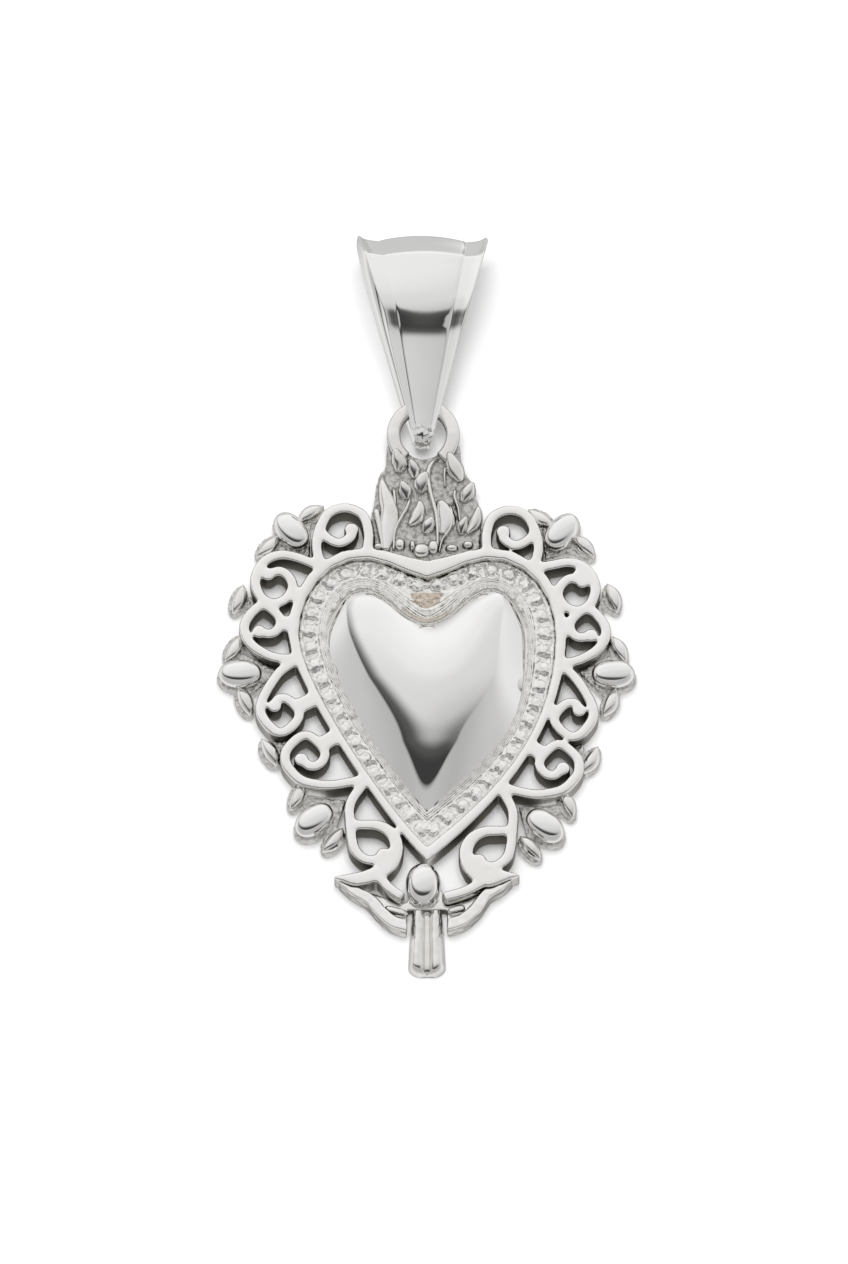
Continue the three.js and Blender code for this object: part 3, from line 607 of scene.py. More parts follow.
@dataclass(frozen=True)
class Silver:
    """A silver finish: colours of its high and low places, gloss, and the sizes of its grain and stains."""

    name: str
    slot: Slot
    high: Triple
    low: Triple
    roughness: Pair
    grain: float
    relief: float
    stain: float
    # The painted shade colour of upright faces in openings, and how wide an opening still counts as closed in
    shaded_wall_colour: Triple | None = None
    recess: float = 1.5
    stain_range: Pair = (0.42, 0.72)
    grain_range: Pair = (0.3, 0.7)
    wall_sheen: Triple = (0.45, 0.44, 0.42)
    wall_roughness: float = 0.6
    upright_range: Pair = (0.7, 0.3)
    closed_range: Pair = (0.98, 0.86)

    def material(self) -> bpy.types.Material:
        """Builds the finish's nodes, or gives them if they are built.

        Returns:
            The material.
        """
        made = bpy.data.materials.get(self.name)
        if made:
            return made
        made = bpy.data.materials.new(self.name)
        made.use_nodes = True
        bench = Bench(made.node_tree)
        shader = made.node_tree.nodes["Principled BSDF"]
        shader.inputs["Metallic"].default_value = 1.0
        place = bench.add("TexCoord", {}, "Object")
        fine = bench.add("TexNoise", {"Vector": place, "Scale": 1.0 / (self.grain * MM), "Detail": 4.0})
        broad = bench.add("TexNoise", {"Vector": place, "Scale": 1.0 / (self.stain * MM), "Detail": 3.0})
        stained = bench.between(broad, self.stain_range)
        colour = bench.mix(stained, (*self.high, 1.0), (*self.low, 1.0))
        rough = bench.between(fine, self.grain_range, self.roughness)
        # Painted shade: upright faces inside closed-in openings, found by ambient occlusion, get a dark
        # colour and a rougher skin
        if self.shaded_wall_colour:
            wall_shade = self.paint_wall_shade(bench)
            colour = bench.mix(wall_shade, colour, (*self.shaded_wall_colour, 1.0))
            rough = bench.mix(wall_shade, rough, self.wall_roughness, "FLOAT")
            shader.inputs["Specular Tint"].default_value = (*self.wall_sheen, 1.0)
        bump = bench.add("Bump", {"Distance": self.relief * MM, "Strength": 1.0, "Height": fine})
        bench.wire(shader, {"Base Color": colour, "Roughness": rough, "Normal": bump})
        return made

    def paint_wall_shade(self, bench: Bench) -> Socket:
        """Finds the upright faces inside closed-in openings, which get a painted shade colour.

        Args:
            bench: The material's nodes.

        Returns:
            The share of painted shade.
        """
        normal = bench.add("NewGeometry", {}, "Normal")
        facing = bench.add("SeparateXYZ", {"Vector": normal}, "Z")
        upright = bench.between(facing, self.upright_range, interpolation_type="SMOOTHSTEP")
        distance = {"Distance": self.recess * MM}
        open_sky = bench.add("AmbientOcclusion", distance, "AO", only_local=True, samples=8)
        return bench.times(upright, bench.between(open_sky, self.closed_range))


MIRROR = Silver(
    name="mirror_finish",
    slot=Slot.POLISHED,
    high=(0.91, 0.905, 0.89),
    low=(0.88, 0.875, 0.86),
    roughness=(0.015, 0.03),
    grain=0.6,
    relief=0.0003,
    stain=3.0,
)
ROUNDED = replace(
    MIRROR,
    name="bead_finish",
    high=(0.92, 0.915, 0.9),
    roughness=(0.045, 0.075),
    grain=0.5,
    relief=0.001,
    stain=2.0,
)
BUFFED = Silver(
    name="buffed_finish",
    slot=Slot.BUFFED,
    high=(0.94, 0.93, 0.91),
    low=(0.91, 0.895, 0.865),
    roughness=(0.14, 0.2),
    grain=0.25,
    relief=0.004,
    stain=1.6,
    # Painted shade on the upright faces of openings
    shaded_wall_colour=(0.2, 0.19, 0.17),
)
PIERCED = replace(
    BUFFED,
    name="eyelet_finish",
    high=(0.9, 0.89, 0.87),
    low=(0.84, 0.82, 0.79),
    stain=1.0,
    # Painted shade inside openings, reaching across the eyelet's hole
    shaded_wall_colour=(0.16, 0.15, 0.135),
    recess=4.0,
)
# Keeps the painted shade inside the flame's narrow openings
FLAMED = replace(
    PIERCED, name="flame_finish", low=(0.82, 0.8, 0.77), roughness=(0.1, 0.18), grain=0.2, recess=0.5
)
RIDGED = replace(
    BUFFED,
    name="ridge_finish",
    high=(0.88, 0.87, 0.85),
    low=(0.8, 0.78, 0.75),
    roughness=(0.12, 0.2),
    grain=0.2,
    stain=1.0,
    shaded_wall_colour=None,
)
BEADED = replace(
    RIDGED,
    name="beaded_finish",
    high=(0.95, 0.94, 0.92),
    low=(0.84, 0.82, 0.79),
    roughness=(0.22, 0.34),
    grain=0.1,
    relief=0.01,
    stain=0.3,
)
CAST = Silver(
    name="cast_finish",
    slot=Slot.CAST,
    high=(0.8, 0.785, 0.76),
    low=(0.46, 0.445, 0.42),
    roughness=(0.3, 0.46),
    grain=0.1,
    relief=0.03,
    stain=0.25,
)
GROUND = replace(CAST, name="ground_finish", high=(0.66, 0.65, 0.63), low=(0.3, 0.29, 0.27))
TONED = replace(
    CAST,
    name="toned_finish",
    slot=Slot.TONED,
    high=(0.78, 0.7, 0.6),
    low=(0.5, 0.42, 0.35),
    roughness=(0.35, 0.55),
    relief=0.035,
)


def piece(
    name: str,
    bm: Mesh,
    finish: Silver,
    body: str = PENDANT,
    nodes: Sequence[str] = (),
) -> bpy.types.Object:
    """Turns a mesh into a finished piece that rides on a body.

    Args:
        name: The piece's name.
        bm: Its mesh in the drawing frame; it is used up.
        finish: Its silver.
        body: The body that it rides on.
        nodes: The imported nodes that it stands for.

    Returns:
        The new object.
    """
    bm.transform(INTO_PART)
    mesh = bpy.data.meshes.new(name)
    bm.to_mesh(mesh)
    bm.free()
    mesh.shade_smooth()
    mesh.materials.append(finish.material())
    made = bpy.data.objects.new(name, mesh)
    bpy.context.scene.collection.objects.link(made)
    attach(made, body)
    if nodes:
        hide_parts(*nodes)
    LOG.info("%s: %d faces on %s", name, len(mesh.polygons), body)
    return made


# Sub-assemblies


@dataclass
class ScrollFrame:
    """The pierced frame: heart band, scrolls, ties, horns and cradle bars, cast in two halves."""

    mould: Mould = Mould(0.066, 14, 0.03)
    overlap: float = 0.15
    # A plug for the pinhole beside the right horn
    plug_middle: Triple = (3.22, -13.42, 0.7)
    plug_half: Triple = (0.3, 0.3, 0.66)
    plug_boxy: float = 0.6

    def build_half(self, side: Side) -> None:
        """Casts one half of the frame into one skin with soft edges.

        Args:
            side: Which half.
        """
        bm = node_copy("scroll_frame")
        cut = bmesh.ops.bisect_plane(
            bm,
            geom=[*bm.verts, *bm.edges, *bm.faces],
            plane_co=(-side.value * self.overlap, 0, 0),
            plane_no=(-side.value, 0, 0),
            clear_outer=True,
        )
        edges = [part for part in cut["geom_cut"] if isinstance(part, bmesh.types.BMEdge)]
        bmesh.ops.holes_fill(bm, edges=edges, sides=0)
        if side is Side.RIGHT:
            pillow(bm, Vector(self.plug_middle), 0.0, self.plug_half, self.plug_boxy)
        nodes = ["scroll_frame"] if side is Side.LEFT else []
        piece(f"pierced_scroll_frame_{side.name.lower()}", self.mould.cast(bm), BUFFED, PENDANT, nodes)

    def build(self) -> None:
        """Casts both halves."""
        for side in Side:
            self.build_half(side)


@dataclass
class Dome:
    """The puffed heart: a shell that rises from its outline like a softened roof, open at the back."""

    edge: float = 1.4
    skirt: float = 0.86
    # The rolled edge: distance in from the outline and share of the collar's height
    roll: Pairs = ((0.06, 0.86), (0.02, 0.55), (0.0, 0.2))
    shoulder: float = 0.1
    collar: float = 0.44
    top: float = 3.76
    wall: float = 0.5
    cell: float = 0.06
    # Distance in from the rim and slope in degrees, on the flanks and on the tops of the lobes
    flank: Pairs = ((0.0, 44.5), (1.15, 44.0), (1.65, 29.0), (3.2, 14.0), (4.8, 0.0))
    crest: Pairs = ((0.0, 68.0), (0.4, 66.0), (0.7, 34.0), (1.8, 26.0), (3.2, 14.0), (4.8, 0.0))
    # The rim's upward lean from which the crest begins and at which it is full, and the depth where both meet
    turn: Pair = (0.1, 0.62)
    meet: float = 3.0
    # How far the ridge's end is cut back at the tip
    hip: float = 0.18
    # The rounding of the crown and of the lower ridge, and the height in Y between them
    soft: Pair = (0.5, 1.1)
    soft_from: Pair = (-3.0, -6.5)
    rings: int = 60
    steps: int = 180
    centre_y: float = -1.4

    def climb(self, slopes: Pairs, away: Points) -> Points:
        """Adds up a slope from the rim inwards.

        Args:
            slopes: Distance in from the rim and slope in degrees.
            away: The distances to the rim, negative outside of it.

        Returns:
            The rise at each distance.
        """
        depths = np.linspace(0.0, slopes[-1][0], 400)
        steep = np.tan(np.radians(np.interp(depths, *zip(*slopes))))
        rise = np.concatenate(([0.0], np.cumsum((steep[1:] + steep[:-1]) / 2 * np.diff(depths))))
        return np.where(away > 0, np.interp(away, depths, rise), away * steep[0])

    def blurred(self, grid: Points, soft: float) -> Points:
        """Rounds a grid of heights over a width.

        Args:
            grid: The heights.
            soft: The width.

        Returns:
            The rounded heights.
        """
        reach = int(3 * soft / self.cell)
        kernel = np.exp(-0.5 * (np.arange(-reach, reach + 1) * self.cell / soft) ** 2)
        kernel /= kernel.sum()
        for axis in (0, 1):
            grid = np.apply_along_axis(np.convolve, axis, grid, kernel, "same")
        return grid

    def roof(self) -> tuple[Points, Points, Points]:
        """Works out the rise over a grid from each place's distance to the rim.

        Returns:
            The grid's X places, its Y places, and the rise at each.
        """
        rim = HEART.outline(self.edge, 2 * self.steps)
        # The outline runs clockwise, so its way in X is its upward lean
        lean = tangents(rim, True)[:, 0]
        pad = 4 * max(self.soft)
        xs = np.arange(rim[:, 0].min() - pad, rim[:, 0].max() + pad, self.cell)
        ys = np.arange(rim[:, 1].min() - pad, rim[:, 1].max() + pad, self.cell)
        x, y = np.meshgrid(xs, ys)
        away = np.full(x.shape, np.inf)
        upward = np.zeros(x.shape)
        for (px, py), up in zip(rim, lean):
            reach = (x - px) ** 2 + (y - py) ** 2
            upward = np.where(reach < away, up, upward)
            away = np.minimum(away, reach)
        away = np.sqrt(away) * np.where(self.inside(rim, x, y), 1.0, -1.0)
        away = np.where(y < 0, np.minimum(away, y - rim[:, 1].min() - self.hip), away)
        flank = self.climb(self.flank, away)
        crest = self.climb(self.crest, away)
        level = [self.climb(slopes, np.array([self.meet]))[0] for slopes in (self.flank, self.crest)]
        crest = np.where(away > self.meet, flank, crest * level[0] / level[1])
        share = smooth_step(upward, *self.turn)
        rise = flank * (1 - share) + crest * share
        lower = smooth_step(y, *self.soft_from)
        crown, ridge = (self.blurred(rise, soft) for soft in self.soft)
        return xs, ys, crown * (1 - lower) + ridge * lower

    @staticmethod
    def inside(rim: Points, x: Points, y: Points) -> Points:
        """Tells which places lie inside a closed outline.

        Args:
            rim: The outline.
            x: The places' X.
            y: The places' Y.

        Returns:
            True or false for each place.
        """
        odd = np.zeros(x.shape, bool)
        for (x0, y0), (x1, y1) in zip(rim, np.roll(rim, -1, axis=0)):
            if y0 != y1:
                crosses = (y0 > y) != (y1 > y)
                odd ^= crosses & (x < (x1 - x0) * (y - y0) / (y1 - y0) + x0)
        return odd

    @staticmethod
    def sample(xs: Points, ys: Points, grid: Points, places: Points) -> Points:
        """Reads a grid between its places with a smooth kernel.

        Args:
            xs: The grid's X places.
            ys: The grid's Y places.
            grid: The values on the grid.
            places: Where to read.

        Returns:
            One value for each place.
        """
        step = xs[1] - xs[0]
        u = (places[:, 0] - xs[0]) / step
        v = (places[:, 1] - ys[0]) / step
        i = np.floor(u).astype(int)
        j = np.floor(v).astype(int)

        def weights(t: Points) -> list[Points]:
            """Gives the four weights of a cubic kernel.

            Args:
                t: The shares of the way from one grid place to the next.

            Returns:
                The weights of the places before, at, after and past it.
            """
            near = (3 * t**3 - 6 * t**2 + 4) / 6
            s = 1 - t
            far = (3 * s**3 - 6 * s**2 + 4) / 6
            return [s**3 / 6, near, far, t**3 / 6]

        total = np.zeros(len(places))
        for dj, down in enumerate(weights(v - j)):
            for di, across in enumerate(weights(u - i)):
                total += across * down * grid[j + dj - 1, i + di - 1]
        return total

    def shell(self, roof: tuple[Points, Points, Points], inset: float, low: float, high: float) -> Points:
        """Lays rings from the crown to the rim and down to the back.

        Args:
            roof: The grid of the rise.
            inset: How far in from the band's inner edge the rim lies.
            low: The rim's lowest height.
            high: The crown's height.

        Returns:
            Places as rings by points by three, without the foot.
        """
        rim = HEART.outline(inset, self.steps)
        centre = np.array((0.0, self.centre_y))
        rows = []
        for share in np.sin(np.linspace(0.0, math.pi / 2, self.rings + 1)):
            ring = centre + (rim - centre) * max(share, 1e-3)
            rows.append(np.column_stack([ring, self.sample(*roof, ring)]))
        rows = np.array(rows)
        rows[..., 2] = low + rows[..., 2] * (high - low) / rows[..., 2].max()
        return rows

    def loop(self, inset: float, height: Points | float) -> Points:
        """Lays one ring round the edge, with a height for all of it or for each point."""
        rim = HEART.outline(inset, self.steps)
        return np.column_stack([rim, np.broadcast_to(height, len(rim))])

    def build(self) -> None:
        """Skins the shell from its hollow round its foot and its rolled edge to its crown."""
        roof = self.roof()
        inset = self.edge + self.shoulder
        outer = self.shell(roof, inset, self.skirt + self.collar, self.top)
        inner = self.shell(roof, inset + self.wall, self.skirt, self.top - self.wall)
        lift = outer[-1, :, 2] - self.skirt
        edge = [self.loop(self.edge + away, self.skirt + share * lift) for away, share in self.roll]
        feet = [self.loop(inset + self.wall, 0.0), self.loop(self.edge, 0.0)]
        bm = skin(np.concatenate([inner, feet, edge[::-1], outer[::-1]]), True, False)
        piece("puffed_heart_dome", bm, MIRROR, PENDANT, ["heart_dome"])


@dataclass
class Border:
    """The channel round the dome: its steps, its beaded pads and the wall down to the rim."""

    steps: int = 170
    pads: int = 44
    pad_inset: float = 0.56
    pad_spread: float = 0.6
    pad_size: Triple = (0.37, 0.4, 0.27)
    pad_boxy: float = 0.8
    pad_foot: float = 0.8
    dot_inset: float = 0.9
    dot_half: Triple = (0.13, 0.13, 0.13)
    dot_foot: float = 0.9
    mould: Mould = Mould(0.05, 2)
    grain: Grain = Grain(0.2, 0.05, 0.5)
    # Distance in from the band's inner edge and height, from the band to the dome
    section: Pairs = (
        (0.02, 0.1), (0.02, 0.8), (0.1, 0.98), (0.2, 0.98), (0.26, 0.84), (0.5, 0.86), (0.9, 0.86),
        (0.98, 0.98), (1.06, 1.0), (1.12, 0.9), (1.36, 0.72), (1.36, 0.1),
    )

    def ring(self) -> Mesh:
        """Skins the channel's section all round the heart.

        Returns:
            A new mesh.
        """
        loops = [HEART.outline(inset, self.steps) for inset, _ in self.section]
        heights = [height for _, height in self.section]
        rows = [np.column_stack([loop, np.full(len(loop), z)]) for loop, z in zip(loops, heights)]
        return skin(np.array(rows).transpose(1, 0, 2), True, True)

    def build(self) -> None:
        """Casts the channel, the pads and the dots into one piece."""
        bm = self.ring()
        half = self.pads // 2
        shares = (np.arange(half) + 0.5) / half
        for side in Side:
            line = HEART.half(side, self.pad_inset, self.pad_spread)
            inner = HEART.half(side, self.dot_inset, self.pad_spread)
            places = along(line, shares)
            ends = along(line, shares + 1e-3)
            gaps = along(inner, shares + 0.5 / half)
            for place, end, gap in zip(places, ends, gaps):
                angle = math.atan2(end[1] - place[1], end[0] - place[0])
                pillow(bm, Vector((*place, self.pad_foot)), angle, self.pad_size, self.pad_boxy)
                pillow(bm, Vector((*gap, self.dot_foot)), 0.0, self.dot_half, segments=(8, 6))
        bm = self.mould.cast(bm)
        self.grain.roughen(bm)
        piece("beaded_channel", bm, BEADED, PENDANT, ["beaded_border"])


@dataclass
class Rim:
    """The fine wires that hold the dome's edge."""

    # Distance in from the band's inner edge, height and radius
    wires: tuple[Triple, ...] = (
        (1.17, 0.92, 0.055), (1.27, 0.9, 0.06), (1.37, 0.92, 0.055),
    )
    steps: int = 170
    sides: int = 8
    grain: Grain = Grain(0.3, 0.04)

    def build(self) -> None:
        """Lays the wires round the dome."""
        bm = bmesh.new()
        for inset, height, radius in self.wires:
            loop = HEART.outline(inset, self.steps)
            line = np.column_stack([loop, np.full(len(loop), height)])
            add_mesh(bm, tube(line, radius, self.sides, True))
        self.grain.roughen(bm)
        piece("bezel_wires", bm, BEADED, PENDANT, ["bezel_rim"])


@dataclass
class Shield:
    """The small rough shield in the cleft."""

    mould: Mould = Mould(0.03, 2)
    grain: Grain = Grain(0.1, 0.05)

    def build(self) -> None:
        """Casts the shield with a coarse grain."""
        bm = self.mould.cast(node_copy("cleft_shield"))
        self.grain.roughen(bm)
        piece("cleft_shield_cast", bm, TONED, PENDANT, ["cleft_shield"])


@dataclass
class Flame:
    """The flame crown: a rough plate, its tongues and the eyelet's arch."""

    mould: Mould = Mould(0.06, 3)
    grain: Grain = Grain(0.14, 0.05, 0.4)
    foot: float = 0.9
    rise: float = 0.72
    crest: float = 0.72
    # Tongues under this width keep it along their length, and broader ones are leaves with a full head
    fine_under: float = 0.4
    # Scale, share of the length where it is fullest, and share that is left at the root
    fine_width: Triple = (1.0, 0.12, 0.6)
    fine_rise: Triple = (0.75, 0.2, 0.7)
    leaf_width: Triple = (1.45, 0.62, 0.4)
    leaf_rise: Triple = (1.0, 0.2, 0.5)
    hole_y: float = 11.2
    ring_radius: float = 1.57
    ring_half: Pair = (0.36, 0.31)
    ring_boxy: float = 0.5
    ring_open: float = 52.0
    ring_x: float = -0.2
    ring_sink: float = 0.3
    # Width, then the line from tip to root
    tongues: tuple[Stroke, ...] = (
        (0.63, ((-1.77, 10.59), (-1.58, 10.14), (-1.43, 9.66), (-1.51, 9.17))),
        (0.51, ((-0.95, 9.91), (-0.73, 9.47), (-0.65, 8.86))),
        (0.34, ((0.79, 10.03), (0.31, 9.76), (0.06, 9.15), (0.13, 8.25), (0.48, 6.79), (0.58, 4.99))),
        (0.68, ((1.03, 10.43), (1.24, 9.94), (1.47, 9.38), (1.79, 8.68))),
        (0.74, ((-2.3, 9.2), (-2.36, 8.59), (-2.19, 7.8), (-1.98, 7.01), (-2.06, 6.0), (-2.19, 4.74))),
        (0.38, ((-2.7, 7.33), (-2.66, 6.79), (-2.55, 6.2), (-2.34, 4.82))),
        (0.57, ((-1.45, 8.66), (-1.2, 8.25), (-1.05, 7.66))),
        (0.25, ((-0.84, 7.89), (-1.03, 7.24), (-1.43, 6.45), (-1.7, 5.77), (-1.77, 4.78))),
        (0.57, ((-0.48, 7.64), (-0.37, 7.12), (-0.6, 6.56), (-0.94, 6.2))),
        (0.55, ((0.35, 6.63), (0.1, 6.2), (-0.18, 5.73))),
        (0.76, ((0.52, 7.69), (0.86, 7.12), (1.01, 6.45), (0.84, 5.68))),
        (0.57, ((2.51, 8.63), (2.23, 8.14), (1.87, 7.51))),
        (0.49, ((2.7, 7.35), (2.68, 6.79), (2.44, 6.11), (2.11, 5.73))),
        (0.44, ((2.17, 6.67), (1.87, 6.13), (1.79, 5.64))),
    )
    # The finer ridges between the tongues, in the same way
    ridges: tuple[Stroke, ...] = (
        (0.68, ((0.08, 9.23), (-0.22, 8.72), (-0.37, 8.02))),
        (0.23, ((1.11, 7.55), (1.32, 6.79), (1.24, 6.0), (0.81, 5.32), (0.65, 4.67))),
        (0.21, ((0.98, 9.51), (0.92, 9.04), (0.96, 8.36))),
        (0.23, ((-1.83, 8.48), (-1.7, 7.69), (-1.72, 6.79), (-1.83, 5.89))),
        (0.23, ((1.53, 8.36), (1.45, 7.8), (1.64, 7.12), (1.75, 6.34))),
    )
    # The knobs along the foot: middle, half width and half length
    knobs: tuple[tuple[float, float, float, float], ...] = (
        (-1.43, 5.11, 0.3, 0.39), (-0.77, 5.04, 0.17, 0.34), (-0.29, 4.77, 0.49, 0.45),
        (0.33, 4.96, 0.32, 0.45), (1.32, 4.88, 0.37, 0.23), (2.17, 5.07, 0.32, 0.25),
        (-2.59, 4.96, 0.26, 0.23),
    )
    knob_rise: float = 0.5
    knob_boxy: float = 0.85

    def tongue(self, width: float, knots: Sequence[Pair]) -> Mesh:
        """Shapes one tongue.

        Args:
            width: Its width.
            knots: Its line from tip to root.

        Returns:
            A new mesh.
        """
        wide, high = (self.leaf_width, self.leaf_rise)
        if width < self.fine_under:
            wide, high = (self.fine_width, self.fine_rise)
        swell = drop(width * wide[0], *wide[1:])
        rise = drop(self.rise * high[0], *high[1:])
        return bent_lens(curve_through(knots), swell, self.foot, rise, crest=self.crest)

    def build_plate(self) -> None:
        """Casts the rough plate."""
        bm = self.mould.cast(node_copy("flame_plate"))
        self.grain.roughen(bm)
        piece("flame_plate_cast", bm, GROUND, PENDANT, ["flame_plate"])

    def build_tongues(self) -> None:
        """Lays the tongues, the finer ridges and the knobs on the plate."""
        for number, (width, knots) in enumerate(self.tongues, 1):
            name = f"flame_tongue_{number:02d}"
            piece(name + "_polished", self.tongue(width, knots), FLAMED, PENDANT, [name])
        bm = bmesh.new()
        for width, knots in self.ridges:
            add_mesh(bm, self.tongue(width, knots))
        for x, y, across, along_it in self.knobs:
            half = (across, along_it, self.knob_rise)
            pillow(bm, Vector((x, y, self.foot)), 0.0, half, self.knob_boxy)
        piece("flame_ridges", bm, FLAMED)

    def build_eyelet(self) -> None:
        """Bends the eyelet's arch over the hole."""
        across, deep = self.ring_half
        turn = np.linspace(0, 2 * math.pi, 20, endpoint=False)
        out = across * np.sign(np.cos(turn)) * np.abs(np.cos(turn)) ** self.ring_boxy
        up = deep * np.sign(np.sin(turn)) * np.abs(np.sin(turn)) ** self.ring_boxy
        angles = np.radians(np.linspace(-self.ring_open, 180 + self.ring_open, 61))
        rows = []
        for angle in angles:
            reach = self.ring_radius + out
            x = self.ring_x + reach * math.cos(angle)
            y = self.hole_y + reach * math.sin(angle)
            sink = self.ring_sink * max(0.0, -math.sin(angle))
            rows.append(np.column_stack([x, y, HINGE_Z + up - sink]))
        piece("eyelet_arch", skin(np.array(rows), True, False), PIERCED, PENDANT, ["eyelet_ring"])

    def build(self) -> None:
        """Builds the plate, the tongues and the eyelet."""
        self.build_plate()
        self.build_tongues()
        self.build_eyelet()


@dataclass
class Sprays:
    """Beads on the outline with their rough webs and polished leaves."""

    bead_half: Triple = (1.15, 0.76, 0.64)
    bottom_half: Triple = (1.2, 0.94, 0.92)
    bead_boxy: float = 0.95
    bead_foot: float = 1.1
    bead_faces: tuple[int, int] = (48, 24)
    web_mould: Mould = Mould(0.05, 3)
    web_grain: Grain = Grain(0.13, 0.05, 0.3)
    webs: tuple[str, ...] = (
        "leaf_spray_top",
        "leaf_spray_side",
        "leaf_spray_lower",
        "leaf_bud_upper",
        "leaf_bud_lower",
    )
    leaf_length: float = 1.7
    leaf_width: float = 0.82
    leaf_foot: float = 0.6
    leaf_rise: float = 0.6
    leaf_bow: float = 0.12
    leaf_blunt: float = 0.75
    leaf_ends: float = 0.45
    leaf_crest: float = 0.8
    # The turn of each bead on the right, in degrees
    angles: dict[str, float] = field(default_factory=lambda: {"top": 52.0, "side": 0.0, "lower": -39.0})
    # Share of the half outline and distance out on the left and on the right, and the turn on the right
    leaves: tuple[tuple[str, Pair, Pair, float], ...] = (
        ("top_outer", (0.268, 2.8), (0.262, 2.64), -45.0),
        ("top_inner", (0.2, 2.72), (0.197, 2.51), 145.0),
        ("side_upper", (0.422, 2.93), (0.428, 2.75), -62.0),
        ("side_lower", (0.508, 3.23), (0.523, 2.75), -112.0),
        ("lower_upper", (0.726, 3.3), (0.726, 3.1), -67.0),
        ("lower_lower", (0.843, 3.06), (0.832, 3.1), -51.0),
        ("bud_upper", (0.354, 2.89), (0.346, 2.71), -71.0),
        ("bud_lower", (0.62, 3.33), (0.633, 2.92), -119.0),
    )

    def build_webs(self, side: Side) -> None:
        """Casts the webs of one side.

        Args:
            side: Which half.
        """
        for node in self.webs:
            name = f"{node}_{side.name.lower()}"
            bm = self.web_mould.cast(node_copy(name))
            self.web_grain.roughen(bm)
            piece(name + "_web", bm, CAST, PENDANT, [name])

    def build_leaves(self, side: Side) -> None:
        """Lays the polished leaves of one side on their webs.

        Args:
            side: Which half.
        """
        swell = spindle(self.leaf_blunt)
        for name, left, right, angle in self.leaves:
            share, out = left if side is Side.LEFT else right
            centre = HEART.beside(side, share, out)
            turn = math.radians(angle if side is Side.RIGHT else 180.0 - angle)
            reach = Vector((math.cos(turn), math.sin(turn), 0.0)) * self.leaf_length / 2
            bow = Vector((-reach.y, reach.x, 0.0)) * self.leaf_bow
            bm = bent_lens(
                curve_through([(centre + place).xy for place in (-reach, bow, reach)]),
                lambda share: self.leaf_width * swell(share),
                self.leaf_foot,
                lambda share: self.leaf_rise * (self.leaf_ends + (1 - self.leaf_ends) * swell(share)),
                crest=self.leaf_crest,
            )
            piece(f"leaf_{name}_{side.name.lower()}", bm, RIDGED)

    def build_bead(self, node: str, angle: float, half: Triple) -> None:
        """Sets one oval bead.

        Args:
            node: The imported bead.
            angle: The turn of its long axis, in degrees.
            half: Half its length and width, and its rise.
        """
        low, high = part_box(node)
        centre = INTO_PART.inverted() @ ((low + high) / 2)
        centre.z = self.bead_foot
        bm = bmesh.new()
        pillow(bm, centre, math.radians(angle), half, self.bead_boxy, self.bead_faces)
        piece(node + "_polished", bm, ROUNDED, PENDANT, [node])

    def build(self) -> None:
        """Builds both sides and the bottom bead."""
        for side in Side:
            self.build_webs(side)
            self.build_leaves(side)
            for name, angle in self.angles.items():
                turn = angle if side is Side.RIGHT else 180.0 - angle
                self.build_bead(f"bead_{name}_{side.name.lower()}", turn, self.bead_half)
        self.build_bead("bead_bottom", 90.0, self.bottom_half)


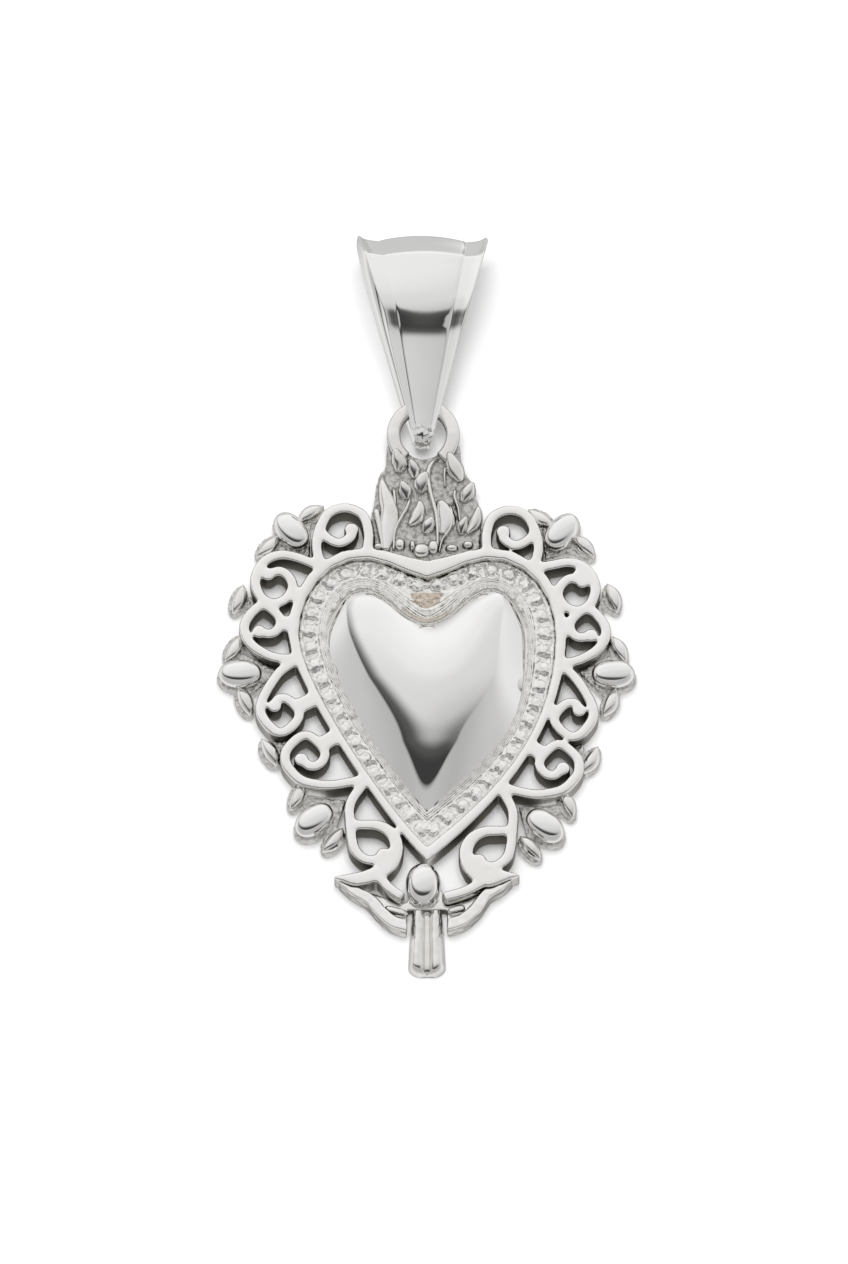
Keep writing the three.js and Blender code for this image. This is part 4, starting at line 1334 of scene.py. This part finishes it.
@dataclass
class Base:
    """The crescent bowl and the reeded stem below the tip."""

    stem_top: float = -15.43
    stem_length: float = 3.5
    stem_half: Pair = (0.84, 1.02)
    stem_floor: float = 0.6
    stem_grain: Grain = Grain(0.5, 0.03, 0.3)
    # The share of the height that is left at the sides and at the foot
    edge_share: float = 0.3
    reed_rise: float = 0.34
    reed_place: float = 0.55
    reed_half: float = 0.42
    reed_crest: float = 0.8
    foot_round: float = 0.55
    corner_round: float = 0.6
    bowl_mould: Mould = Mould(0.05, 12)
    bowl_grain: Grain = Grain(0.4, 0.03)
    bar_foot: float = 0.72
    bar_half: Pair = (0.22, 0.34)
    bar_boxy: float = 0.7
    # The inset bars beside the stem: middle, turn in degrees, half length
    bars: tuple[tuple[Pair, float, float], ...] = (
        ((-1.62, -15.5), -17.0, 0.66),
        ((1.55, -15.42), 15.0, 0.5),
    )

    def stem_height(self, u: Points, left: float) -> Points:
        """Gives the stem's top across one section.

        Args:
            u: Places across, from -1 to 1.
            left: The distance to the foot.

        Returns:
            The height at each place.
        """
        side = np.abs(u)
        rounded = 1.0 - self.edge_share
        flank = self.edge_share + rounded * np.sqrt(1.0 - side**6)
        away = (side - self.reed_place) / self.reed_half
        reed = np.clip(1.0 - away**2, 0.0, 1.0) ** self.reed_crest
        short = np.clip(1.0 - left / self.foot_round, 0.0, 1.0)
        foot = self.edge_share + rounded * np.sqrt(1.0 - short**2)
        return (self.stem_floor * flank + self.reed_rise * reed) * foot

    def build_stem(self) -> None:
        """Skins the flared stem with its two reeds and its rounded foot."""
        across = np.linspace(-1.0, 1.0, 61)
        rows = []
        for share in np.linspace(0.0, 1.0, 71):
            left = self.stem_length * (1.0 - share)
            half = self.stem_half[0] + (self.stem_half[1] - self.stem_half[0]) * share
            short = max(0.0, (self.foot_round - left) / self.corner_round)
            half *= math.sqrt(1.0 - short**2)
            y = np.full(len(across), self.stem_top - self.stem_length * share)
            top = np.column_stack([across * half, y, self.stem_height(across, left)])
            bottom = top[[-1, 0]] * (1.0, 1.0, 0.0)
            rows.append(np.vstack([top, bottom]))
        bm = skin(np.array(rows), True, False)
        self.stem_grain.roughen(bm)
        piece("finial_stem_reeded", bm, RIDGED, PENDANT, ["finial_stem"])

    def build_bowl(self) -> None:
        """Casts the bowl, and sets the bars on its floor."""
        bm = self.bowl_mould.cast(node_copy("crescent_bowl"))
        self.bowl_grain.roughen(bm)
        piece("crescent_bowl_cast", bm, BUFFED, PENDANT, ["crescent_bowl"])
        bm = bmesh.new()
        for (x, y), angle, half in self.bars:
            place = Vector((x, y, self.bar_foot))
            pillow(bm, place, math.radians(angle), (half, *self.bar_half), self.bar_boxy, (24, 12))
        piece("bowl_bars", bm, FLAMED)

    def build(self) -> None:
        """Builds the bowl and the stem."""
        self.build_bowl()
        self.build_stem()


@dataclass
class Bail:
    """The strap folded into a tapered loop, lying rolled a little on the table."""

    nose_y: float = -2.17
    top_y: float = 9.0
    nose_width: float = 0.72
    top_width: float = 6.9
    strap: float = 0.4
    crown: float = 0.3
    lip: float = 0.26
    draft: float = 0.8
    roll: float = 3.5
    slide: float = -0.25
    steps: int = 260
    # How far the front's bend lies up to the sides, its middle and its reach
    smile: Triple = (0.3, 4.1, 1.3)
    nose_grain: Grain = Grain(0.14, 0.07, below_y=-1.2)
    # The crown's line on the front leaf and on the back leaf, from nose to fold: along, out
    front: Pairs = (
        (-2.2, 0.0), (-2.1, 0.5), (-1.8, 0.84), (-1.2, 0.99), (-0.4, 1.13), (0.5, 1.3), (2.0, 1.59),
        (3.2, 1.83), (3.5, 1.9), (3.75, 1.98), (4.1, 2.12), (4.6, 2.31), (4.85, 2.38), (5.2, 2.43),
        (5.6, 2.44), (6.2, 2.38), (6.8, 2.27), (7.4, 2.12), (7.95, 1.97), (8.06, 1.91), (8.15, 1.82),
        (8.56, 1.3), (8.98, 0.8), (9.2, 0.5),
    )
    back: Pairs = (
        (9.32, 0.0), (9.14, -0.75), (8.55, -1.4), (7.6, -1.85), (5.6, -2.06), (2.84, -1.76), (0.0, -1.32),
        (-1.2, -1.1), (-1.9, -0.6),
    )
    # Share of the half width, strap share, crown share and lip share of the height over the inner face
    section: tuple[tuple[float, float, float, float], ...] = (
        (0.0, 1.0, 1.0, 0.0), (0.12, 1.0, 0.97, 0.0), (0.24, 1.0, 0.88, 0.0), (0.36, 1.0, 0.73, 0.0),
        (0.48, 1.0, 0.52, 0.0), (0.58, 1.0, 0.29, 0.0), (0.64, 1.0, 0.13, 0.0), (0.66, 0.98, 0.02, 0.0),
        (0.68, 0.95, 0.0, 0.0), (0.7, 0.98, 0.0, 0.02), (0.76, 1.0, 0.0, 0.06), (0.84, 1.0, 0.0, 0.2),
        (0.91, 1.0, 0.0, 0.5), (0.955, 1.0, 0.0, 0.86), (0.975, 1.0, 0.0, 1.0), (0.99, 1.0, 0.0, 0.98),
        (1.0, 0.95, 0.0, 0.8),
    )

    def sections(self) -> Points:
        """Works out the strap's sections round the loop, in the bail's own frame.

        Returns:
            Places as sections by points by three, with the hinge line at the origin.
        """
        line = curve_through([*self.front, *self.back, self.front[0]], 24)
        line = along(line, np.arange(self.steps) / self.steps)
        ahead = tangents(line, True)
        outward = np.stack([-ahead[:, 1], ahead[:, 0]], axis=1)
        rows = []
        for (y, z), (oy, oz) in zip(line, outward):
            share = min(max((y - self.nose_y) / (self.top_y - self.nose_y), 0.0), 1.0)
            width = self.nose_width + (self.top_width - self.nose_width) * share
            size = width / self.top_width
            full = self.strap + self.crown * size
            right = [
                (across, a * self.strap + b * self.crown * size + c * self.lip * size)
                for across, a, b, c in self.section
            ]
            left = [(-across, out) for across, out in right[:0:-1]]
            inner = [(self.draft, 0.0), (0.0, 0.0), (-self.draft, 0.0)]
            ring = [*right, *inner, *left]
            bow = self.smile[0] * math.exp(-(((y - self.smile[1]) / self.smile[2]) ** 2)) if z > 0 else 0.0
            rows.append(
                [
                    (across * width / 2, y + bow * across**2 + oy * (out - full), z + oz * (out - full))
                    for across, out in ring
                ]
            )
        return np.array(rows)

    def pose(self, sections: Points) -> Matrix:
        """Finds the pose in which the rolled strap just rests on the table.

        Args:
            sections: The strap's sections.

        Returns:
            The move from the bail's own frame into the drawing frame.
        """
        roll = Matrix.Rotation(math.radians(self.roll), 4, "Y")
        rolled = sections.reshape(-1, 3) @ np.array(roll)[:3, :3].T
        lift = 0.0
        while (HINGE_DRAWN.z + rolled[:, 1] * math.sin(lift) + rolled[:, 2] * math.cos(lift)).min() < 0.0:
            lift += math.radians(0.05)
        move = Matrix.Translation(HINGE_DRAWN + Vector((self.slide, 0.0, 0.0)))
        return move @ Matrix.Rotation(lift, 4, "X") @ roll

    def build(self) -> None:
        """Skins the strap and lays it on the table."""
        sections = self.sections()
        bm = skin(sections, True, True)
        self.nose_grain.roughen(bm)
        bm.transform(self.pose(sections))
        piece("folded_strap_bail", bm, MIRROR, BAIL, ["bail_strap"])


# Stage


def set_down(name: str, bm: Mesh, material: bpy.types.Material) -> bpy.types.Object:
    """Puts a stage piece in the scene.

    Args:
        name: Its name.
        bm: Its mesh in millimetres; it is used up.
        material: Its material.

    Returns:
        The new object.
    """
    bmesh.ops.scale(bm, verts=bm.verts, vec=(MM, MM, MM))
    mesh = bpy.data.meshes.new(name)
    bm.to_mesh(mesh)
    bm.free()
    mesh.materials.append(material)
    made = bpy.data.objects.new(name, mesh)
    bpy.context.scene.collection.objects.link(made)
    return made


class TentBench(Bench):
    """Nodes that paint a tent by facing, the way in which a mirror has to face to show a place of it."""

    def __init__(self, tree: bpy.types.NodeTree, tilt: float) -> None:
        """Works out each place's facing.

        Args:
            tree: The tent's nodes.
            tilt: The tilt of the picture's view, in radians.
        """
        super().__init__(tree)
        self.facing = self.add("TexCoord", {}, "Object")
        for offset in ((0.0, 0.0, 0.0), (0.0, -math.sin(tilt), math.cos(tilt))):
            shifted = self.add("VectorMath", {0: self.facing, 1: offset})
            self.facing = self.add("VectorMath", {0: shifted}, operation="NORMALIZE")

    def lean(self, axis: Triple) -> Socket:
        """Gives how far a place's facing leans to an axis."""
        return self.add("VectorMath", {0: self.facing, 1: axis}, "Value", operation="DOT_PRODUCT")

    def bent(self, axis: Triple, bend: float) -> Socket:
        """Gives a lean that grows with the square of the way to the sides.

        Args:
            axis: The axis.
            bend: How much it grows.

        Returns:
            The lean.
        """
        aside = self.lean((1.0, 0.0, 0.0))
        square = self.times(aside, aside)
        return self.add("Math", {0: square, 1: bend, 2: self.lean(axis)}, operation="MULTIPLY_ADD")

    def shade(self, value: Socket, stops: Pairs) -> Socket:
        """Gives a grey between stops.

        Args:
            value: A value from -1 to 1.
            stops: Values and greys, with both ends first.

        Returns:
            The grey.
        """
        ramp = self.tree.nodes.new("ShaderNodeValToRGB")
        self.wire(ramp, {"Fac": self.between(value, (-1.0, 1.0))})
        ramp.color_ramp.interpolation = "EASE"
        elements = ramp.color_ramp.elements
        for number, (at, grey) in enumerate(stops):
            place = (at + 1) / 2
            stop = elements[number] if number < 2 else elements.new(place)
            stop.position = place
            stop.color = (grey, grey, grey, 1.0)
        return ramp.outputs["Color"]


@dataclass
class Tent:
    """The light tent that only reflections see: bright overhead, dark at its front opening, grey below."""

    radius: float = 900.0
    dark: float = 0.05
    sky_lean: Triple = (-0.23, 0.83, 0.0)
    sky_tone: Pairs = (
        (-1.0, 0.5), (1.0, 0.6), (-0.4, 0.59), (-0.15, 0.76), (0.1, 0.9), (0.36, 1.0), (0.54, 0.64),
    )
    # The dark opening at the front: its lean, its bend to the sides, its share and its end towards the back
    opening_lean: Triple = (0.015, 0.0, 1.0)
    opening_bend: float = 0.33
    opening_share: Pairs = ((-1.0, 1.0), (1.0, 0.0), (0.85, 1.0), (0.88, 0.93), (0.935, 0.0))
    front_lean: Triple = (0.39, 1.0, 0.0)
    front_share: Pairs = ((-1.0, 1.0), (1.0, 0.0), (-0.38, 1.0), (-0.12, 0.35), (0.3, 0.0))
    # The table below as reflections see it, a painted reflection on the tent since the floor is hidden from
    # them: its lean, its bend to the sides, its share and its tone
    table_lean: Triple = (-0.05, 0.12, 1.0)
    table_bend: float = -0.1
    table_share: Pairs = ((-1.0, 1.0), (1.0, 0.0), (0.732, 1.0), (0.738, 0.0))
    tone_lean: Triple = (0.054, 0.458, -0.836)
    table_tone: Pairs = (
        (-1.0, 0.6), (1.0, 0.5), (-0.85, 0.5), (-0.75, 0.62), (-0.62, 0.88), (-0.5, 0.8), (-0.3, 0.55),
    )

    def cloth(self, tilt: float) -> bpy.types.Material:
        """Paints the tent's cloth.

        Args:
            tilt: The tilt of the picture's view, in radians.

        Returns:
            The material.
        """
        made = bpy.data.materials.new("tent_cloth")
        made.use_nodes = True
        made.cycles.emission_sampling = "NONE"
        nodes = made.node_tree.nodes
        nodes.remove(nodes["Principled BSDF"])
        bench = TentBench(made.node_tree, tilt)
        sky = bench.shade(bench.lean(self.sky_lean), self.sky_tone)
        opening = bench.shade(bench.bent(self.opening_lean, self.opening_bend), self.opening_share)
        front = bench.shade(bench.lean(self.front_lean), self.front_share)
        cloth = bench.mix(bench.times(opening, front), sky, (self.dark, self.dark, self.dark, 1.0))
        # The tent's lower part shows the painted reflection of the table
        tone = bench.shade(bench.lean(self.tone_lean), self.table_tone)
        table = bench.shade(bench.bent(self.table_lean, self.table_bend), self.table_share)
        glow = bench.add("Emission", {"Color": bench.mix(table, cloth, tone)})
        bench.wire(nodes["Material Output"], {"Surface": glow})
        return made

    def hang(self, tilt: float) -> None:
        """Hangs the tent round the table.

        Args:
            tilt: The tilt of the picture's view, in radians.
        """
        bm = bmesh.new()
        bmesh.ops.create_uvsphere(bm, u_segments=48, v_segments=32, radius=self.radius)
        tent = set_down("light_tent", bm, self.cloth(tilt))
        tent.visible_camera = False
        tent.visible_diffuse = False
        tent.visible_shadow = False


@dataclass
class Studio:
    """The pale floor, the tent, the soft light and the camera."""

    tilt: float = math.radians(20.8)
    aim: Triple = (-0.1444, -0.93, 0.0)
    frame_height: float = 66.87
    lens: float = 1000.0
    sensor: float = 36.0
    clip: Pair = (0.01, 20.0)
    floor_size: float = 3000.0
    floor_colour: Triple = (0.95, 0.95, 0.95)
    mottle: float = 0.985
    mottle_scale: float = 40.0
    fill: float = 0.55
    lamp_place: Triple = (-18.0, 50.0, 600.0)
    lamp_size: float = 320.0
    lamp_power: float = 2.6
    tent: Tent = field(default_factory=Tent)

    def build_floor(self) -> None:
        """Lays the matt floor with a faint mottle."""
        made = bpy.data.materials.new("pale_floor")
        made.use_nodes = True
        bench = Bench(made.node_tree)
        place = bench.add("TexCoord", {}, "Object")
        mottle = bench.add("TexNoise", {"Vector": place, "Scale": self.mottle_scale})
        darker = [self.mottle * part for part in self.floor_colour]
        colour = bench.mix(mottle, (*self.floor_colour, 1.0), (*darker, 1.0))
        shader = made.node_tree.nodes["Principled BSDF"]
        bench.wire(shader, {"Base Color": colour, "Roughness": 0.9, "Specular IOR Level": 0.0})
        bm = bmesh.new()
        bmesh.ops.create_grid(bm, x_segments=1, y_segments=1, size=self.floor_size / 2)
        floor = set_down("floor", bm, made)
        # Reflections see the tent's painted table instead of the floor
        floor.visible_glossy = False

    def build_light(self) -> None:
        """Sets the white surround and one soft lamp from the upper left."""
        world = bpy.data.worlds.new("surround")
        bpy.context.scene.world = world
        world.use_nodes = True
        bench = Bench(world.node_tree)
        path = world.node_tree.nodes.new("ShaderNodeLightPath")
        seen = path.outputs["Is Camera Ray"]
        for ray in ("Is Glossy Ray", "Is Transmission Ray"):
            seen = bench.add("Math", {0: seen, 1: path.outputs[ray]}, operation="ADD", use_clamp=True)
        level = bench.between(seen, (0.0, 1.0), (self.fill, 1.0))
        bench.wire(world.node_tree.nodes["Background"], {"Color": (1.0, 1.0, 1.0, 1.0), "Strength": level})
        lamp = bpy.data.lights.new("soft_lamp", "AREA")
        lamp.shape = "SQUARE"
        lamp.size = self.lamp_size * MM
        lamp.energy = self.lamp_power
        made = bpy.data.objects.new("soft_lamp", lamp)
        bpy.context.scene.collection.objects.link(made)
        made.location = Vector(self.lamp_place) * MM
        made.rotation_euler = (-made.location).to_track_quat("-Z", "Y").to_euler()
        made.visible_glossy = False

    def build_camera(self) -> None:
        """Stands the camera where the picture was taken from."""
        data = bpy.data.cameras.new("camera")
        data.lens = self.lens
        data.sensor_width = self.sensor
        data.clip_start, data.clip_end = self.clip
        made = bpy.data.objects.new("camera", data)
        bpy.context.scene.collection.objects.link(made)
        distance = self.frame_height * self.lens / self.sensor
        back = Vector((0.0, -math.sin(self.tilt), math.cos(self.tilt))) * distance
        made.location = (Vector(self.aim) + back) * MM
        made.rotation_euler = (self.tilt, 0.0, 0.0)
        bpy.context.scene.camera = made

    def build(self) -> None:
        """Builds the whole stage."""
        bpy.context.scene.view_settings.view_transform = "Standard"
        self.build_floor()
        self.tent.hang(self.tilt)
        self.build_light()
        self.build_camera()


def main() -> None:
    """Builds the stage and every sub-assembly of the pendant."""
    logging.basicConfig(level=logging.INFO, format="%(message)s")
    for kind in (Studio, ScrollFrame, Dome, Border, Rim, Shield, Flame, Sprays, Base, Bail):
        part = kind()
        part.build()
        LOG.info("%s done", type(part).__name__)


if __name__ == "__main__":
    main()
